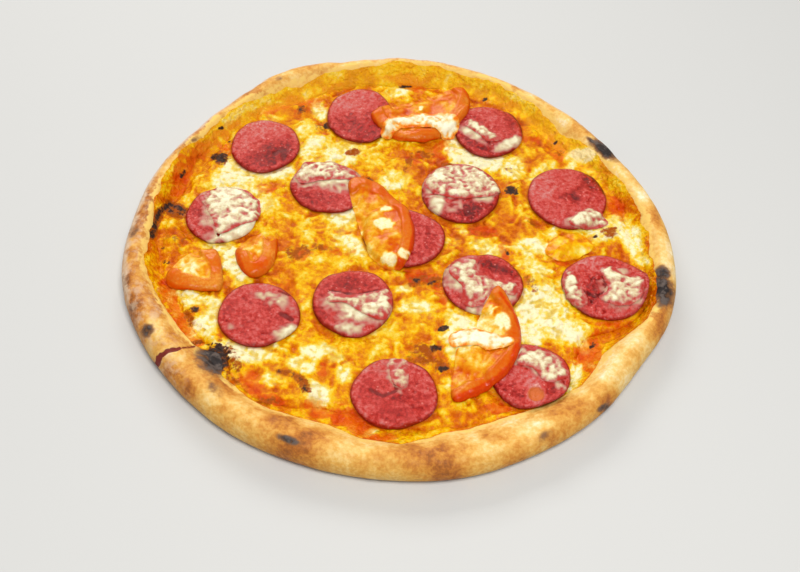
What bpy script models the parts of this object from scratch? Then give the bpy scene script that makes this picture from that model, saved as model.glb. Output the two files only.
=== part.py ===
"""A whole round salami pizza with tomato pieces and melted cheese.

Every size below is in millimetres until add_object() turns it into metres. +Z is up, +X is to the
right and +Y is away from the viewer. The shapes are laid out around a pole near the middle of the
pizza, and add_object() moves them so that the origin is under the middle of the crust's outline.
Each topping is laid on the solids below it, a small gap above them.
"""
import math
import random

import bpy
from mathutils import Vector, geometry
from mathutils.bvhtree import BVHTree

MM = 0.001
GAP = 0.3
SHARP_ANGLE = math.radians(50)

# The crust. Its outside radius, and how far in from the outside the topping starts, every 15
# degrees anticlockwise from +X.
CRUST_RADII = (164, 162, 158, 158, 160, 162, 163, 163, 166, 160, 157, 159,
               160, 163, 162, 161, 161, 160, 160, 161, 160, 160, 159, 164)
TOPPING_INSETS = (15, 14, 13, 16, 10, 9, 8, 11, 17, 10, 8, 10,
                  13, 16, 21, 24, 22, 26, 20, 27, 26, 20, 19, 11)
# How far in from the sauce's edge the cheese starts, at the same angles.
CHEESE_INSETS = (4, 8, 4, 9, 4, 4, 14, 6, 8, 4, 11, 11,
                 3, 8, 8, 4, 3, 11, 13, 3, 3, 4, 15, 4)
SECTORS = 96
BASE_THICKNESS = 4.0
CRUST_HEIGHT = 16.5
CRUST_HEIGHT_WAVES = ((2, 0.5, 0.4), (3, 0.6, 2.1), (5, 0.5, 4.0), (9, 0.4, 1.3))
BULGE_HEIGHT = 7.0
FOOT_INSET = 6.5
CREST_INSET = 9.0
CREST_TO_TOPPING = 2.5
INNER_SLOPE = 9.0
LUMP_HEIGHT = 0.5
# Burst bubbles of the crust: centre, radius, height.
BLISTERS = ((-96, -92, 13, 4.0), (153, -19, 13, 1.2), (126, 86, 11, 0.9), (-124, -86, 9, 1.2),
            (-107, -116, 9, 1.2), (87, -129, 11, 1.0), (-54, -132, 11, 1.2), (-138, 60, 9, 0.9))

SAUCE_THICKNESS = 1.0
SAUCE_EDGE_THICKNESS = 0.5

CHEESE_THICKNESS = 2.1
CHEESE_EDGE_THICKNESS = 0.9
CHEESE_EDGE_WIDTH = 6.0
CHEESE_SWELL = 1.2
CHEESE_POINT_SPACING = 11.0
# Where the cheese stands thickest: centre, radius, height.
CHEESE_MOUNDS = ((-132, -4, 20, 3.2), (-103, 40, 20, 1.0), (85, -50, 17, 0.9), (-60, 84, 13, 0.7),
                 (-39, 17, 9, 0.9), (48, 73, 12, 0.8), (127, 14, 14, 0.9), (-42, -110, 10, 1.1),
                 (-108, -58, 10, 0.7), (44, -60, 9, 0.7))

# The salami slices: centre, half width and half depth.
SALAMI = ((-89, 74, 21.5, 23.5), (-31, 108, 21.5, 25.0), (52.5, 101, 22, 23.5),
          (101.5, 46, 24.3, 25.5), (121, -24, 25.0, 24.0), (35.5, 44, 24.0, 24.5),
          (-46, 41, 23.0, 21.0), (-108, 12, 21.0, 22.0), (2.5, 4, 24.5, 23.0),
          (-76, -61, 23.0, 22.5), (-24, -48, 23.0, 24.0), (50, -28, 23.5, 22.5),
          (3, -108, 23.5, 22.0), (76, -91, 22.5, 21.5))
SALAMI_THICKNESS = 2.0
SALAMI_EDGE_THICKNESS = 1.4
SALAMI_DOME = 0.9
SALAMI_SEGMENTS = 22
SALAMI_RINGS = (0.5, 0.88)
SALAMI_OUTLINE_WOBBLE = 0.018

# The tomato pieces: the outline's corners, rounded by a smooth curve, and which of them, first
# and last, lie along the skin, where the wall of the piece stands highest.
TOMATOES = {
    "tomato_top": (((-24, 107), (-20, 98), (-13, 92), (-6, 87), (8, 86), (20, 91), (31, 102),
                    (39, 116), (40, 132), (35, 141), (26, 138), (12, 129), (-2, 122), (-16, 116)),
                   (0, 9)),
    "tomato_centre": (((-34, 42), (-30, 48), (-19, 48), (-8, 39), (3, 26), (8, 12), (9, -2),
                       (6, -14), (1, -22), (-9, -19), (-17, -12), (-21, 0), (-26, 14), (-31, 30)),
                      (0, 7)),
    "tomato_left": (((-107, -16), (-103, -23), (-100, -34), (-100, -45), (-112, -47), (-126, -46),
                     (-132, -40), (-130, -30), (-122, -21), (-114, -17)),
                    (0, 6)),
    "tomato_small": (((-95, -14), (-89, -4), (-83, 0), (-77, -7), (-72, -4), (-71, -20),
                      (-75, -30), (-83, -35), (-90, -30), (-94, -22)),
                     (4, 9)),
    "tomato_large": (((58, -32), (64, -39), (69, -50), (71.5, -64), (70, -78), (63, -93),
                      (51, -104), (36, -112), (33, -101), (35, -88), (36, -76), (45, -66),
                      (48, -53), (53, -40)),
                     (0, 7)),
    "tomato_right": (((87, -1), (89, 7), (95, 14), (104, 17), (112, 15), (116, 8), (112, 2),
                      (104, -3), (95, -6)),
                     (0, 5)),
}
TOMATO_EDGE_THICKNESS = 1.5
TOMATO_THICKNESS = 2.7
TOMATO_WALL_RISE = 1.3
TOMATO_WALL_WIDTH = 7.0
TOMATO_EDGE_ROUND = 2.5
TOMATO_OUTLINE_STEP = 4.5
TOMATO_POINT_SPACING = 6.5

# Cheese that melted over a tomato piece or a slice: the outline's corners.
CHEESE_ON_TOMATO = {
    "cheese_on_tomato_top": ((-17, 90), (-13, 100), (-2, 108), (14, 111), (27, 111), (33, 104),
                             (31, 94), (24, 91), (18, 96), (6, 97), (-3, 95), (-10, 88)),
    "cheese_on_tomato_large": ((32, -66), (44, -61), (56, -66), (66, -69), (66, -75), (54, -77),
                               (44, -74), (33, -75)),
}
CHEESE_ON_SALAMI = {
    "cheese_on_salami_03": ((37, 103), (41, 110), (48, 105), (58, 96), (60, 91), (51, 90),
                            (44, 97)),
    "cheese_on_salami_04": ((102, 23), (106, 31), (116, 37), (124, 32), (125, 25), (113, 21)),
    "cheese_on_salami_05_left": ((98, -15), (103, -17), (108, -29), (110, -38), (104, -41),
                                 (98, -34), (96, -24)),
    "cheese_on_salami_05_right": ((118, -13), (125, -9), (131, -15), (140, -16), (143, -27),
                                  (136, -37), (126, -39), (117, -34), (122, -27)),
    "cheese_on_salami_06": ((13, 48), (16, 59), (28, 67), (44, 66), (56, 58), (60, 46), (49, 39),
                            (36, 37), (24, 38), (17, 41)),
    "cheese_on_salami_07": ((-68, 50), (-62, 61), (-47, 63), (-35, 57), (-28, 48), (-42, 46),
                            (-54, 44), (-63, 41)),
    "cheese_on_salami_08": ((-123, 25), (-112, 34), (-96, 34), (-86, 24), (-87, 8), (-98, 1),
                            (-107, -4), (-112, 7), (-118, 16)),
    "cheese_on_salami_11": ((-38, -42), (-28, -45), (-17, -42), (-4, -38), (-2, -47), (-5, -60),
                            (-17, -58), (-28, -51), (-38, -51)),
    "cheese_on_salami_12": ((29, -22), (35, -11), (47, -9), (46, -19), (55, -26), (68, -27),
                            (68, -36), (56, -37), (48, -46), (38, -44), (38, -33)),
    "cheese_on_salami_13": ((-1, -89), (8, -88), (10, -102), (7, -107), (2, -104), (0, -97)),
    "cheese_on_salami_14": ((69, -86), (71, -77), (80, -73), (90, -77), (97, -86), (94, -93),
                            (84, -95), (77, -87)),
}
PATCH_EDGE_THICKNESS = 0.6
PATCH_THICKNESS = 1.4
PATCH_EDGE_ROUND = 2.0
PATCH_OUTLINE_STEP = 5.0
PATCH_POINT_SPACING = 7.5

# Colour and roughness of each kind of food.
LOOKS = {
    "crust": ((0.72, 0.44, 0.17), 0.8),
    "sauce": ((0.62, 0.10, 0.02), 0.45),
    "cheese": ((0.90, 0.66, 0.22), 0.4),
    "salami": ((0.56, 0.08, 0.08), 0.4),
    "tomato": ((0.82, 0.20, 0.03), 0.3),
    "white_cheese": ((0.92, 0.84, 0.55), 0.45),
}


def clear_scene():
    for item in list(bpy.data.objects):
        bpy.data.objects.remove(item, do_unlink=True)


def make_material(name, kind):
    colour, roughness = LOOKS[kind]
    material = bpy.data.materials.new(name)
    material.use_nodes = True
    shader = material.node_tree.nodes["Principled BSDF"]
    shader.inputs["Base Color"].default_value = (*colour, 1.0)
    shader.inputs["Roughness"].default_value = roughness
    shader.inputs["Metallic"].default_value = 0.0
    return material


def spline(p0, p1, p2, p3, t):
    """The value at t, 0 to 1, between p1 and p2 on the smooth curve through all four."""
    return 0.5 * (2 * p1 + (p2 - p0) * t + (2 * p0 - 5 * p1 + 4 * p2 - p3) * t * t
                  + (3 * p1 - p0 - 3 * p2 + p3) * t ** 3)


def around(values, angle):
    """The value at an angle of a ring of evenly spaced values, smoothly joined."""
    count = len(values)
    place = (angle / (2 * math.pi) % 1.0) * count
    first = int(place)
    near = [values[(first + step) % count] for step in (-1, 0, 1, 2)]
    return spline(*near, place - first)


def ease(low, high, value):
    """0 below low, 1 above high, and smooth between."""
    t = min(max((value - low) / (high - low), 0.0), 1.0)
    return t * t * (3 - 2 * t)


def bump(x, y, centre_x, centre_y, radius):
    """A smooth round hill: 1 in the middle, 0 from radius out."""
    distance = math.hypot(x - centre_x, y - centre_y) / radius
    return max(1 - distance * distance, 0.0) ** 2


def make_waves(seed, count=6):
    """Directions and phases of crossing waves, for uneven surfaces."""
    draw = random.Random(seed)
    waves = []
    for _ in range(count):
        turn = draw.uniform(0, 2 * math.pi)
        waves.append((math.cos(turn), math.sin(turn), draw.uniform(0.8, 1.25),
                      draw.uniform(0, 2 * math.pi)))
    return waves


def unevenness(x, y, wavelength, waves):
    """A gentle unevenness between about -1 and 1."""
    total = 0.0
    for across, along, pace, phase in waves:
        total += math.sin((x * across + y * along) * pace * 2 * math.pi / wavelength + phase)
    return total / math.sqrt(2 * len(waves))


CRUST_WAVES = make_waves(11)
CHEESE_WAVES = make_waves(23)
SALAMI_WAVES = make_waves(37)
TOMATO_WAVES = make_waves(41)


def closed_curve(corners, step):
    """Points about step apart on the smooth closed curve through the corners."""
    count = len(corners)
    points = []
    for i in range(count):
        near = [corners[(i + offset) % count] for offset in (-1, 0, 1, 2)]
        length = math.dist(near[1], near[2])
        pieces = max(1, round(length / step))
        for piece in range(pieces):
            t = piece / pieces
            points.append((spline(*(p[0] for p in near), t), spline(*(p[1] for p in near), t)))
    return points


def edge_distance(point, line):
    """The distance from a point to a chain of straight stretches."""
    best = math.inf
    for (ax, ay), (bx, by) in zip(line, line[1:]):
        dx, dy = bx - ax, by - ay
        along = ((point[0] - ax) * dx + (point[1] - ay) * dy) / (dx * dx + dy * dy)
        along = min(max(along, 0.0), 1.0)
        best = min(best, math.dist(point, (ax + along * dx, ay + along * dy)))
    return best


def is_inside(point, outline):
    inside = False
    for (ax, ay), (bx, by) in zip(outline, outline[1:] + outline[:1]):
        if (ay > point[1]) != (by > point[1]):
            if point[0] < ax + (point[1] - ay) * (bx - ax) / (by - ay):
                inside = not inside
    return inside


def inner_points(outline, spacing):
    """Evenly spread points inside an outline, clear of its edge."""
    loop = outline + outline[:1]
    xs = [p[0] for p in outline]
    ys = [p[1] for p in outline]
    points = []
    row = 0
    y = min(ys) + spacing * 0.5
    while y < max(ys):
        x = min(xs) + spacing * (0.5 if row % 2 else 0.0)
        while x < max(xs):
            if is_inside((x, y), outline) and edge_distance((x, y), loop) > spacing * 0.55:
                points.append((x, y))
            x += spacing
        y += spacing * 0.87
        row += 1
    return points


def triangulate(outline, inner):
    """Triangles over the inside of an outline, with the inner points among their corners."""
    corners = [Vector(p) for p in outline + inner]
    result = geometry.delaunay_2d_cdt(corners, [], [list(range(len(outline)))], 1, 0.0001)
    points = [(v.x, v.y) for v in result[0]]
    return points, [tuple(face) for face in result[2]]


class Heap:
    """The solids made so far, and how high they reach at any place."""

    def __init__(self):
        self.corners = []
        self.faces = []
        self.tree = None

    def add(self, corners, faces):
        start = len(self.corners)
        self.corners += corners
        self.faces += [tuple(start + i for i in face) for face in faces]
        self.tree = BVHTree.FromPolygons(self.corners, self.faces)

    def height(self, x, y):
        hit = self.tree.ray_cast(Vector((x, y, 200.0)), Vector((0.0, 0.0, -1.0)))[0]
        return hit.z if hit else 0.0


def laid_heights(points, faces, heap, sample_step):
    """Heights at the points, so that every face clears what is below it by the gap."""
    heights = [heap.height(x, y) + GAP for x, y in points]
    for face in faces:
        corners = [points[i] for i in face]
        longest = max(math.dist(corners[i], corners[i - 1]) for i in range(3))
        parts = max(2, math.ceil(longest / sample_step))
        for i in range(parts + 1):
            for j in range(parts + 1 - i):
                shares = (i / parts, j / parts, (parts - i - j) / parts)
                x = sum(s * c[0] for s, c in zip(shares, corners))
                y = sum(s * c[1] for s, c in zip(shares, corners))
                reached = sum(s * heights[index] for s, index in zip(shares, face))
                short = heap.height(x, y) + GAP - reached
                if short > 0:
                    weight = sum(s * s for s in shares)
                    for s, index in zip(shares, face):
                        heights[index] += short * s / weight
    return heights


def closed_solid(points, faces, under, top):
    """Corners and triangles of the solid between two height fields over the same triangles."""
    count = len(points)
    corners = [(x, y, z) for (x, y), z in zip(points, under)]
    corners += [(x, y, z) for (x, y), z in zip(points, top)]
    edges = {}
    solid = []
    for a, b, c in faces:
        solid.append((a, c, b))
        solid.append((a + count, b + count, c + count))
        for edge in ((a, b), (b, c), (c, a)):
            edges[edge] = True
    for a, b in edges:
        if (b, a) not in edges:
            solid.append((a, b, b + count))
            solid.append((a, b + count, a + count))
    return corners, solid


def lay(heap, outline, inner, thickness, sample_step=1.0):
    """A closed solid laid on the heap. thickness(point) gives how thick it is."""
    points, faces = triangulate(outline, inner)
    under = laid_heights(points, faces, heap, sample_step)
    top = [z + thickness(point) for z, point in zip(under, points)]
    corners, solid = closed_solid(points, faces, under, top)
    heap.add(corners, solid)
    return corners, solid


def crust_radius(angle):
    return around(CRUST_RADII, angle)


def topping_inset(angle):
    return around(TOPPING_INSETS, angle)


def crust_height(angle):
    height = CRUST_HEIGHT
    for turns, rise, phase in CRUST_HEIGHT_WAVES:
        height += rise * math.sin(turns * angle + phase)
    return height


def crust_lumps(x, y):
    lumps = LUMP_HEIGHT * unevenness(x, y, 26.0, CRUST_WAVES)
    for centre_x, centre_y, radius, rise in BLISTERS:
        lumps += rise * bump(x, y, centre_x, centre_y, radius)
    return lumps


def crust_profile(angle):
    """Inset from the outside and height of each ring, from the foot, over the crest, to the base."""
    inset = topping_inset(angle)
    crest = min(CREST_INSET, inset - CREST_TO_TOPPING)
    height = crust_height(angle)
    inner_end = inset + INNER_SLOPE
    rings = []
    for step in range(4):
        turn = math.radians(30 * step)
        rings.append((FOOT_INSET * (1 - math.sin(turn)), BULGE_HEIGHT * (1 - math.cos(turn))))
    for step in (1, 2, 3):
        turn = math.radians(30 * step)
        rings.append((crest * (1 - math.cos(turn)),
                      BULGE_HEIGHT + (height - BULGE_HEIGHT) * math.sin(turn)))
    for inner in ((crest + inset) / 2, inset, inset + INNER_SLOPE / 2, inner_end):
        down = 0.5 + 0.5 * math.cos(math.pi * (inner - crest) / (inner_end - crest))
        rings.append((inner, BASE_THICKNESS + (height - BASE_THICKNESS) * down))
    return rings


RING_COUNT = 11
TOPPING_RING = 8


def crust_point(angle, ring):
    """A corner of the crust's surface, with its lumps above the bulge."""
    inset, height = crust_profile(angle)[ring]
    radius = crust_radius(angle) - inset
    x = radius * math.cos(angle)
    y = radius * math.sin(angle)
    lift = ease(BULGE_HEIGHT, BULGE_HEIGHT + 4, height) if ring < TOPPING_RING else 1.0
    lumps = crust_lumps(x, y) * lift
    if ring > TOPPING_RING:
        lumps = max(lumps, 0.0)
    if ring == RING_COUNT - 1:
        lumps = max(lumps - 1.0, 0.0)
    return (x, y, height + lumps)


def ring_corners(ring, rise=0.0):
    corners = []
    for sector in range(SECTORS):
        x, y, z = crust_point(2 * math.pi * sector / SECTORS, ring)
        corners.append((x, y, z + rise))
    return corners


def band_faces(lower, upper):
    """Triangles between two rings of corners, given by their first indices."""
    faces = []
    for i in range(SECTORS):
        j = (i + 1) % SECTORS
        faces.append((lower + i, lower + j, upper + j))
        faces.append((lower + i, upper + j, upper + i))
    return faces


def fan_faces(ring, centre, upward):
    faces = []
    for i in range(SECTORS):
        j = (i + 1) % SECTORS
        faces.append((ring + i, ring + j, centre) if upward else (ring + j, ring + i, centre))
    return faces


def make_dough(heap):
    corners = []
    faces = []
    for ring in range(RING_COUNT):
        corners += ring_corners(ring)
        if ring:
            faces += band_faces((ring - 1) * SECTORS, ring * SECTORS)
    corners.append((0.0, 0.0, 0.0))
    faces += fan_faces(0, len(corners) - 1, upward=False)
    corners.append((0.0, 0.0, BASE_THICKNESS))
    faces += fan_faces((RING_COUNT - 1) * SECTORS, len(corners) - 1, upward=True)
    heap.add(corners, faces)
    return corners, faces


def make_sauce(heap):
    """A thin disc that covers the base and climbs the inside of the crust."""
    rings = range(TOPPING_RING, RING_COUNT)
    corners = []
    faces = []
    for ring in rings:
        corners += ring_corners(ring, GAP)
    for ring in rings:
        thickness = SAUCE_EDGE_THICKNESS if ring == TOPPING_RING else SAUCE_THICKNESS
        corners += ring_corners(ring, GAP + thickness)
    count = len(rings)
    for step in range(1, count):
        for a, b, c in band_faces((step - 1) * SECTORS, step * SECTORS):
            faces.append((a, c, b))
        faces += band_faces((count + step - 1) * SECTORS, (count + step) * SECTORS)
    faces += band_faces(0, count * SECTORS)
    middle = BASE_THICKNESS + GAP
    corners.append((0.0, 0.0, middle))
    faces += fan_faces((count - 1) * SECTORS, len(corners) - 1, upward=False)
    corners.append((0.0, 0.0, middle + SAUCE_THICKNESS))
    faces += fan_faces((2 * count - 1) * SECTORS, len(corners) - 1, upward=True)
    heap.add(corners, faces)
    return corners, faces


def salami_ratio(point, slice_size, margin=0.0):
    """1 on the edge of a slice widened by the margin, less inside, more outside."""
    x, y, half_width, half_depth = slice_size
    return math.hypot((point[0] - x) / (half_width + margin),
                      (point[1] - y) / (half_depth + margin))


def clear_of_salami(point):
    """How far a point is from the nearest slice, about 0 on its edge."""
    return min((salami_ratio(point, size) - 1) * (size[2] + size[3]) / 2 for size in SALAMI)


def cheese_edge():
    outline = []
    for sector in range(SECTORS):
        angle = 2 * math.pi * sector / SECTORS
        radius = crust_radius(angle) - topping_inset(angle) - around(CHEESE_INSETS, angle)
        outline.append((radius * math.cos(angle), radius * math.sin(angle)))
    return outline


def cheese_thickness(point, loop):
    """Even and thin under the slices, swollen and uneven between them."""
    x, y = point
    inside = ease(0.0, CHEESE_EDGE_WIDTH, edge_distance(point, loop))
    thickness = CHEESE_EDGE_THICKNESS + (CHEESE_THICKNESS - CHEESE_EDGE_THICKNESS) * inside
    swell = CHEESE_SWELL * (0.5 + 0.5 * unevenness(x, y, 24.0, CHEESE_WAVES))
    for centre_x, centre_y, radius, rise in CHEESE_MOUNDS:
        swell += rise * bump(x, y, centre_x, centre_y, radius)
    return thickness + max(swell, 0.0) * ease(2.0, 7.0, clear_of_salami(point)) * inside


def cheese_points(outline):
    """Corners round each slice, and spread ones between the slices."""
    loop = outline + outline[:1]
    points = []
    for size in SALAMI:
        points.append((size[0], size[1]))
        for step in range(18):
            turn = 2 * math.pi * step / 18
            point = (size[0] + (size[2] + 1.5) * math.cos(turn),
                     size[1] + (size[3] + 1.5) * math.sin(turn))
            apart = min((math.dist(point, other) for other in points), default=math.inf)
            others = min(salami_ratio(point, other, 1.4) for other in SALAMI)
            if apart > 3 and others > 0.999 and edge_distance(point, loop) > 3:
                if is_inside(point, outline):
                    points.append(point)
    for point in inner_points(outline, CHEESE_POINT_SPACING):
        if clear_of_salami(point) > 4:
            points.append(point)
    return points


def make_cheese(heap):
    outline = cheese_edge()
    loop = outline + outline[:1]
    return lay(heap, outline, cheese_points(outline), lambda point: cheese_thickness(point, loop))


def salami_outline(size, scale, draw):
    """The edge of a slice, a little out of round, shrunk by the scale."""
    x, y, half_width, half_depth = size
    ring = []
    for step in range(SALAMI_SEGMENTS):
        turn = 2 * math.pi * step / SALAMI_SEGMENTS
        wobble = 1 + SALAMI_OUTLINE_WOBBLE * (math.sin(3 * turn + draw[0])
                                              + 0.7 * math.sin(5 * turn + draw[1]))
        ring.append((x + half_width * wobble * scale * math.cos(turn),
                     y + half_depth * wobble * scale * math.sin(turn)))
    return ring


def make_salami(heap, index):
    size = SALAMI[index]
    random_turns = random.Random(100 + index)
    draw = [random_turns.uniform(0, 2 * math.pi) for _ in range(2)]

    def thickness(point):
        ratio = salami_ratio(point, size)
        body = SALAMI_THICKNESS + (SALAMI_EDGE_THICKNESS - SALAMI_THICKNESS) * ease(0.88, 1.0, ratio)
        dome = SALAMI_DOME * max(1 - ratio * ratio, 0.0)
        return body + dome + 0.25 * unevenness(*point, 17.0, SALAMI_WAVES)

    inner = [(size[0], size[1])]
    for scale in SALAMI_RINGS:
        inner += salami_outline(size, scale, draw)
    return lay(heap, salami_outline(size, 1.0, draw), inner, thickness)


def tomato_skin(corners, skin):
    """The stretch of a tomato piece's outline that carries the skin."""
    return [corners[i] for i in range(skin[0], skin[1] + 1)]


def make_tomato(heap, name):
    corners, skin = TOMATOES[name]
    outline = closed_curve(corners, TOMATO_OUTLINE_STEP)
    loop = outline + outline[:1]
    skin_line = tomato_skin(corners, skin)

    def thickness(point):
        inside = 1 - math.exp(-edge_distance(point, loop) / TOMATO_EDGE_ROUND)
        wall = 1 - ease(TOMATO_WALL_WIDTH * 0.6, TOMATO_WALL_WIDTH, edge_distance(point, skin_line))
        rise = TOMATO_THICKNESS - TOMATO_EDGE_THICKNESS + TOMATO_WALL_RISE * wall
        return TOMATO_EDGE_THICKNESS + rise * inside + 0.25 * unevenness(*point, 13.0, TOMATO_WAVES)

    return lay(heap, outline, inner_points(outline, TOMATO_POINT_SPACING), thickness, 0.7)


def make_patch(heap, corners):
    outline = closed_curve(corners, PATCH_OUTLINE_STEP)
    loop = outline + outline[:1]

    def thickness(point):
        inside = 1 - math.exp(-edge_distance(point, loop) / PATCH_EDGE_ROUND)
        return PATCH_EDGE_THICKNESS + (PATCH_THICKNESS - PATCH_EDGE_THICKNESS) * inside

    return lay(heap, outline, inner_points(outline, PATCH_POINT_SPACING), thickness, 0.7)


def outline_middle(corners):
    xs = [corner[0] for corner in corners]
    ys = [corner[1] for corner in corners]
    return (min(xs) + max(xs)) / 2, (min(ys) + max(ys)) / 2


def add_object(name, solid, kind, middle):
    corners, faces = solid
    mesh = bpy.data.meshes.new(name)
    placed = [((x - middle[0]) * MM, (y - middle[1]) * MM, z * MM) for x, y, z in corners]
    mesh.from_pydata(placed, [], faces)
    mesh.materials.append(make_material(name, kind))
    mesh.shade_smooth()
    mesh.set_sharp_from_angle(angle=SHARP_ANGLE)
    item = bpy.data.objects.new(name, mesh)
    bpy.context.scene.collection.objects.link(item)


def main():
    clear_scene()
    heap = Heap()
    dough = make_dough(heap)
    middle = outline_middle(dough[0])
    add_object("dough", dough, "crust", middle)
    add_object("tomato_sauce", make_sauce(heap), "sauce", middle)
    add_object("melted_cheese", make_cheese(heap), "cheese", middle)
    for index in range(len(SALAMI)):
        add_object(f"salami_{index + 1:02d}", make_salami(heap, index), "salami", middle)
    for name, corners in CHEESE_ON_SALAMI.items():
        add_object(name, make_patch(heap, corners), "white_cheese", middle)
    for name in TOMATOES:
        add_object(name, make_tomato(heap, name), "tomato", middle)
    for name, corners in CHEESE_ON_TOMATO.items():
        add_object(name, make_patch(heap, corners), "white_cheese", middle)


main()
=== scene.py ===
"""The looks of a whole round salami pizza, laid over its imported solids.

Lengths are in millimetres round the same pole as the solids, +X right, +Y away from the viewer and
+Z up, until add_piece() turns them into the frame's metres. Each piece repeats the form of the
solid that it replaces, at a finer step, and is laid on the pieces below it.
"""
import math
import random

import bpy
import numpy as np
from mathutils import Matrix, Vector


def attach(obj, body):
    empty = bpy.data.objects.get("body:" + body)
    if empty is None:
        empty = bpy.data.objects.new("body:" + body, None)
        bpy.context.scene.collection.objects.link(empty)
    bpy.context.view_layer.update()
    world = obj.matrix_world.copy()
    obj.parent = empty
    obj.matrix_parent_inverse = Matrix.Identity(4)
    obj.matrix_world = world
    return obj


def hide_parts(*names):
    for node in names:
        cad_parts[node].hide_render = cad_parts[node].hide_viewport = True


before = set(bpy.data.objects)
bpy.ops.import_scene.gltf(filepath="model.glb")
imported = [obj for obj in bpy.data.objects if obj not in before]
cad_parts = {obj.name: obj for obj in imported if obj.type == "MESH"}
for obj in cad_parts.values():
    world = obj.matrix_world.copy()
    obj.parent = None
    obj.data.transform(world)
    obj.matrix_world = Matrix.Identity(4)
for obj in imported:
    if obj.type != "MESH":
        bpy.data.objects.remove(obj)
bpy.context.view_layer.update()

MM = 0.001

# The gaps under a stiff piece and under a spread one, and the heights at which marks are placed.
GAP = 0.3
SHEET_GAP = 0.15
TOPPING_LEVEL = 9.0
SLICE_LEVEL = 12.0
TOMATO_LEVEL = 13.0

# The camera: where it stands, its height above the horizon and its roll, in degrees.
CAMERA_PLACE = (2.1, -474.3, 541.3)
CAMERA_ELEVATION = 50.39
CAMERA_ROLL = 3.84
CAMERA_LENS = 54.0
SENSOR_WIDTH = 36.0

# The crust, as in the solids. Rings of values run every 15 degrees anticlockwise from +X: the
# crust's radius, how far in from there the sauce starts, and how far in from there the cheese does.
CRUST_RADII = (164, 162, 158, 158, 160, 162, 163, 163, 166, 160, 157, 159,
               160, 163, 162, 161, 161, 160, 160, 161, 160, 160, 159, 164)
TOPPING_INSETS = (15, 14, 13, 16, 10, 9, 8, 11, 17, 10, 8, 10,
                  13, 16, 21, 24, 22, 26, 20, 27, 26, 20, 19, 11)
CHEESE_INSETS = (4, 8, 4, 9, 4, 4, 14, 6, 8, 4, 11, 11,
                 3, 8, 8, 4, 3, 11, 13, 3, 3, 4, 15, 4)
BASE_THICKNESS = 4.0
CRUST_HEIGHT = 16.5
CRUST_HEIGHT_WAVES = ((2, 0.5, 0.4), (3, 0.6, 2.1), (5, 0.5, 4.0), (9, 0.4, 1.3))
BULGE_HEIGHT = 7.0
FOOT_INSET = 6.5
CREST_INSET = 9.0
CREST_TO_TOPPING = 2.5
INNER_SLOPE = 9.0
LUMP_HEIGHT = 0.5
# Burst bubbles of the crust: centre, radius, height. The burnt one pushes the toppings back.
BLISTERS = ((-96, -92, 13, 4.0), (153, -19, 13, 1.2), (126, 86, 11, 0.9), (-124, -86, 9, 1.2),
            (-107, -116, 9, 1.2), (87, -129, 11, 1.0), (-54, -132, 11, 1.2), (-138, 60, 9, 0.9))
BURNT_BUBBLE = (-98, -93, 15)
BUBBLE_RETREAT = 9.0

SAUCE_THICKNESS = 1.0
SAUCE_EDGE_THICKNESS = 0.5

CHEESE_THICKNESS = 2.1
CHEESE_EDGE_THICKNESS = 0.9
CHEESE_EDGE_WIDTH = 6.0
CHEESE_SWELL = 1.2
# Mounds of the cheese: centre, radius, height.
CHEESE_MOUNDS = ((-132, -4, 20, 3.2), (-103, 40, 20, 1.0), (85, -50, 17, 0.9), (-60, 84, 13, 0.7),
                 (-39, 17, 9, 0.9), (48, 73, 12, 0.8), (127, 14, 14, 0.9), (-42, -110, 10, 1.1),
                 (-108, -58, 10, 0.7), (44, -60, 9, 0.7))

# The salami slices: centre, half width and half depth.
SALAMI = ((-89, 74, 21.5, 23.5), (-31, 108, 21.5, 25.0), (52.5, 101, 22, 23.5),
          (101.5, 46, 24.3, 25.5), (121, -24, 25.0, 24.0), (35.5, 44, 24.0, 24.5),
          (-46, 41, 23.0, 21.0), (-108, 12, 21.0, 22.0), (2.5, 4, 24.5, 23.0),
          (-76, -61, 23.0, 22.5), (-24, -48, 23.0, 24.0), (50, -28, 23.5, 22.5),
          (3, -108, 23.5, 22.0), (76, -91, 22.5, 21.5))
SALAMI_THICKNESS = 2.0
SALAMI_EDGE_THICKNESS = 1.4
SALAMI_DOME = 0.9
SALAMI_OUTLINE_WOBBLE = 0.018
SALAMI_REACH = 3.0

# The tomato pieces: outline corners, and which of them, first and last, lie along the skin.
TOMATOES = {
    "tomato_top": (((-24, 107), (-20, 98), (-13, 92), (-6, 87), (8, 86), (20, 91), (31, 102),
                    (39, 116), (40, 132), (35, 141), (26, 138), (12, 129), (-2, 122), (-16, 116)),
                   (0, 9)),
    "tomato_centre": (((-34, 42), (-30, 48), (-19, 48), (-8, 39), (3, 26), (8, 12), (9, -2),
                       (6, -14), (1, -22), (-9, -19), (-17, -12), (-21, 0), (-26, 14), (-31, 30)),
                      (0, 7)),
    "tomato_left": (((-107, -16), (-103, -23), (-100, -34), (-100, -45), (-112, -47), (-126, -46),
                     (-132, -40), (-130, -30), (-122, -21), (-114, -17)),
                    (0, 6)),
    "tomato_small": (((-95, -14), (-89, -4), (-83, 0), (-77, -7), (-72, -4), (-71, -20),
                      (-75, -30), (-83, -35), (-90, -30), (-94, -22)),
                     (4, 9)),
    "tomato_large": (((58, -32), (64, -39), (69, -50), (71.5, -64), (70, -78), (63, -93),
                      (51, -104), (36, -112), (33, -101), (35, -88), (36, -76), (45, -66),
                      (48, -53), (53, -40)),
                     (0, 7)),
    "tomato_right": (((87, -1), (89, 7), (95, 14), (104, 17), (112, 15), (116, 8), (112, 2),
                      (104, -3), (95, -6)),
                     (0, 5)),
}
TOMATO_EDGE_THICKNESS = 1.5
TOMATO_THICKNESS = 2.7
TOMATO_WALL_RISE = 1.3
TOMATO_WALL_WIDTH = 8.0
TOMATO_EDGE_ROUND = 2.5
TOMATO_REACH = 2.5

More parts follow.
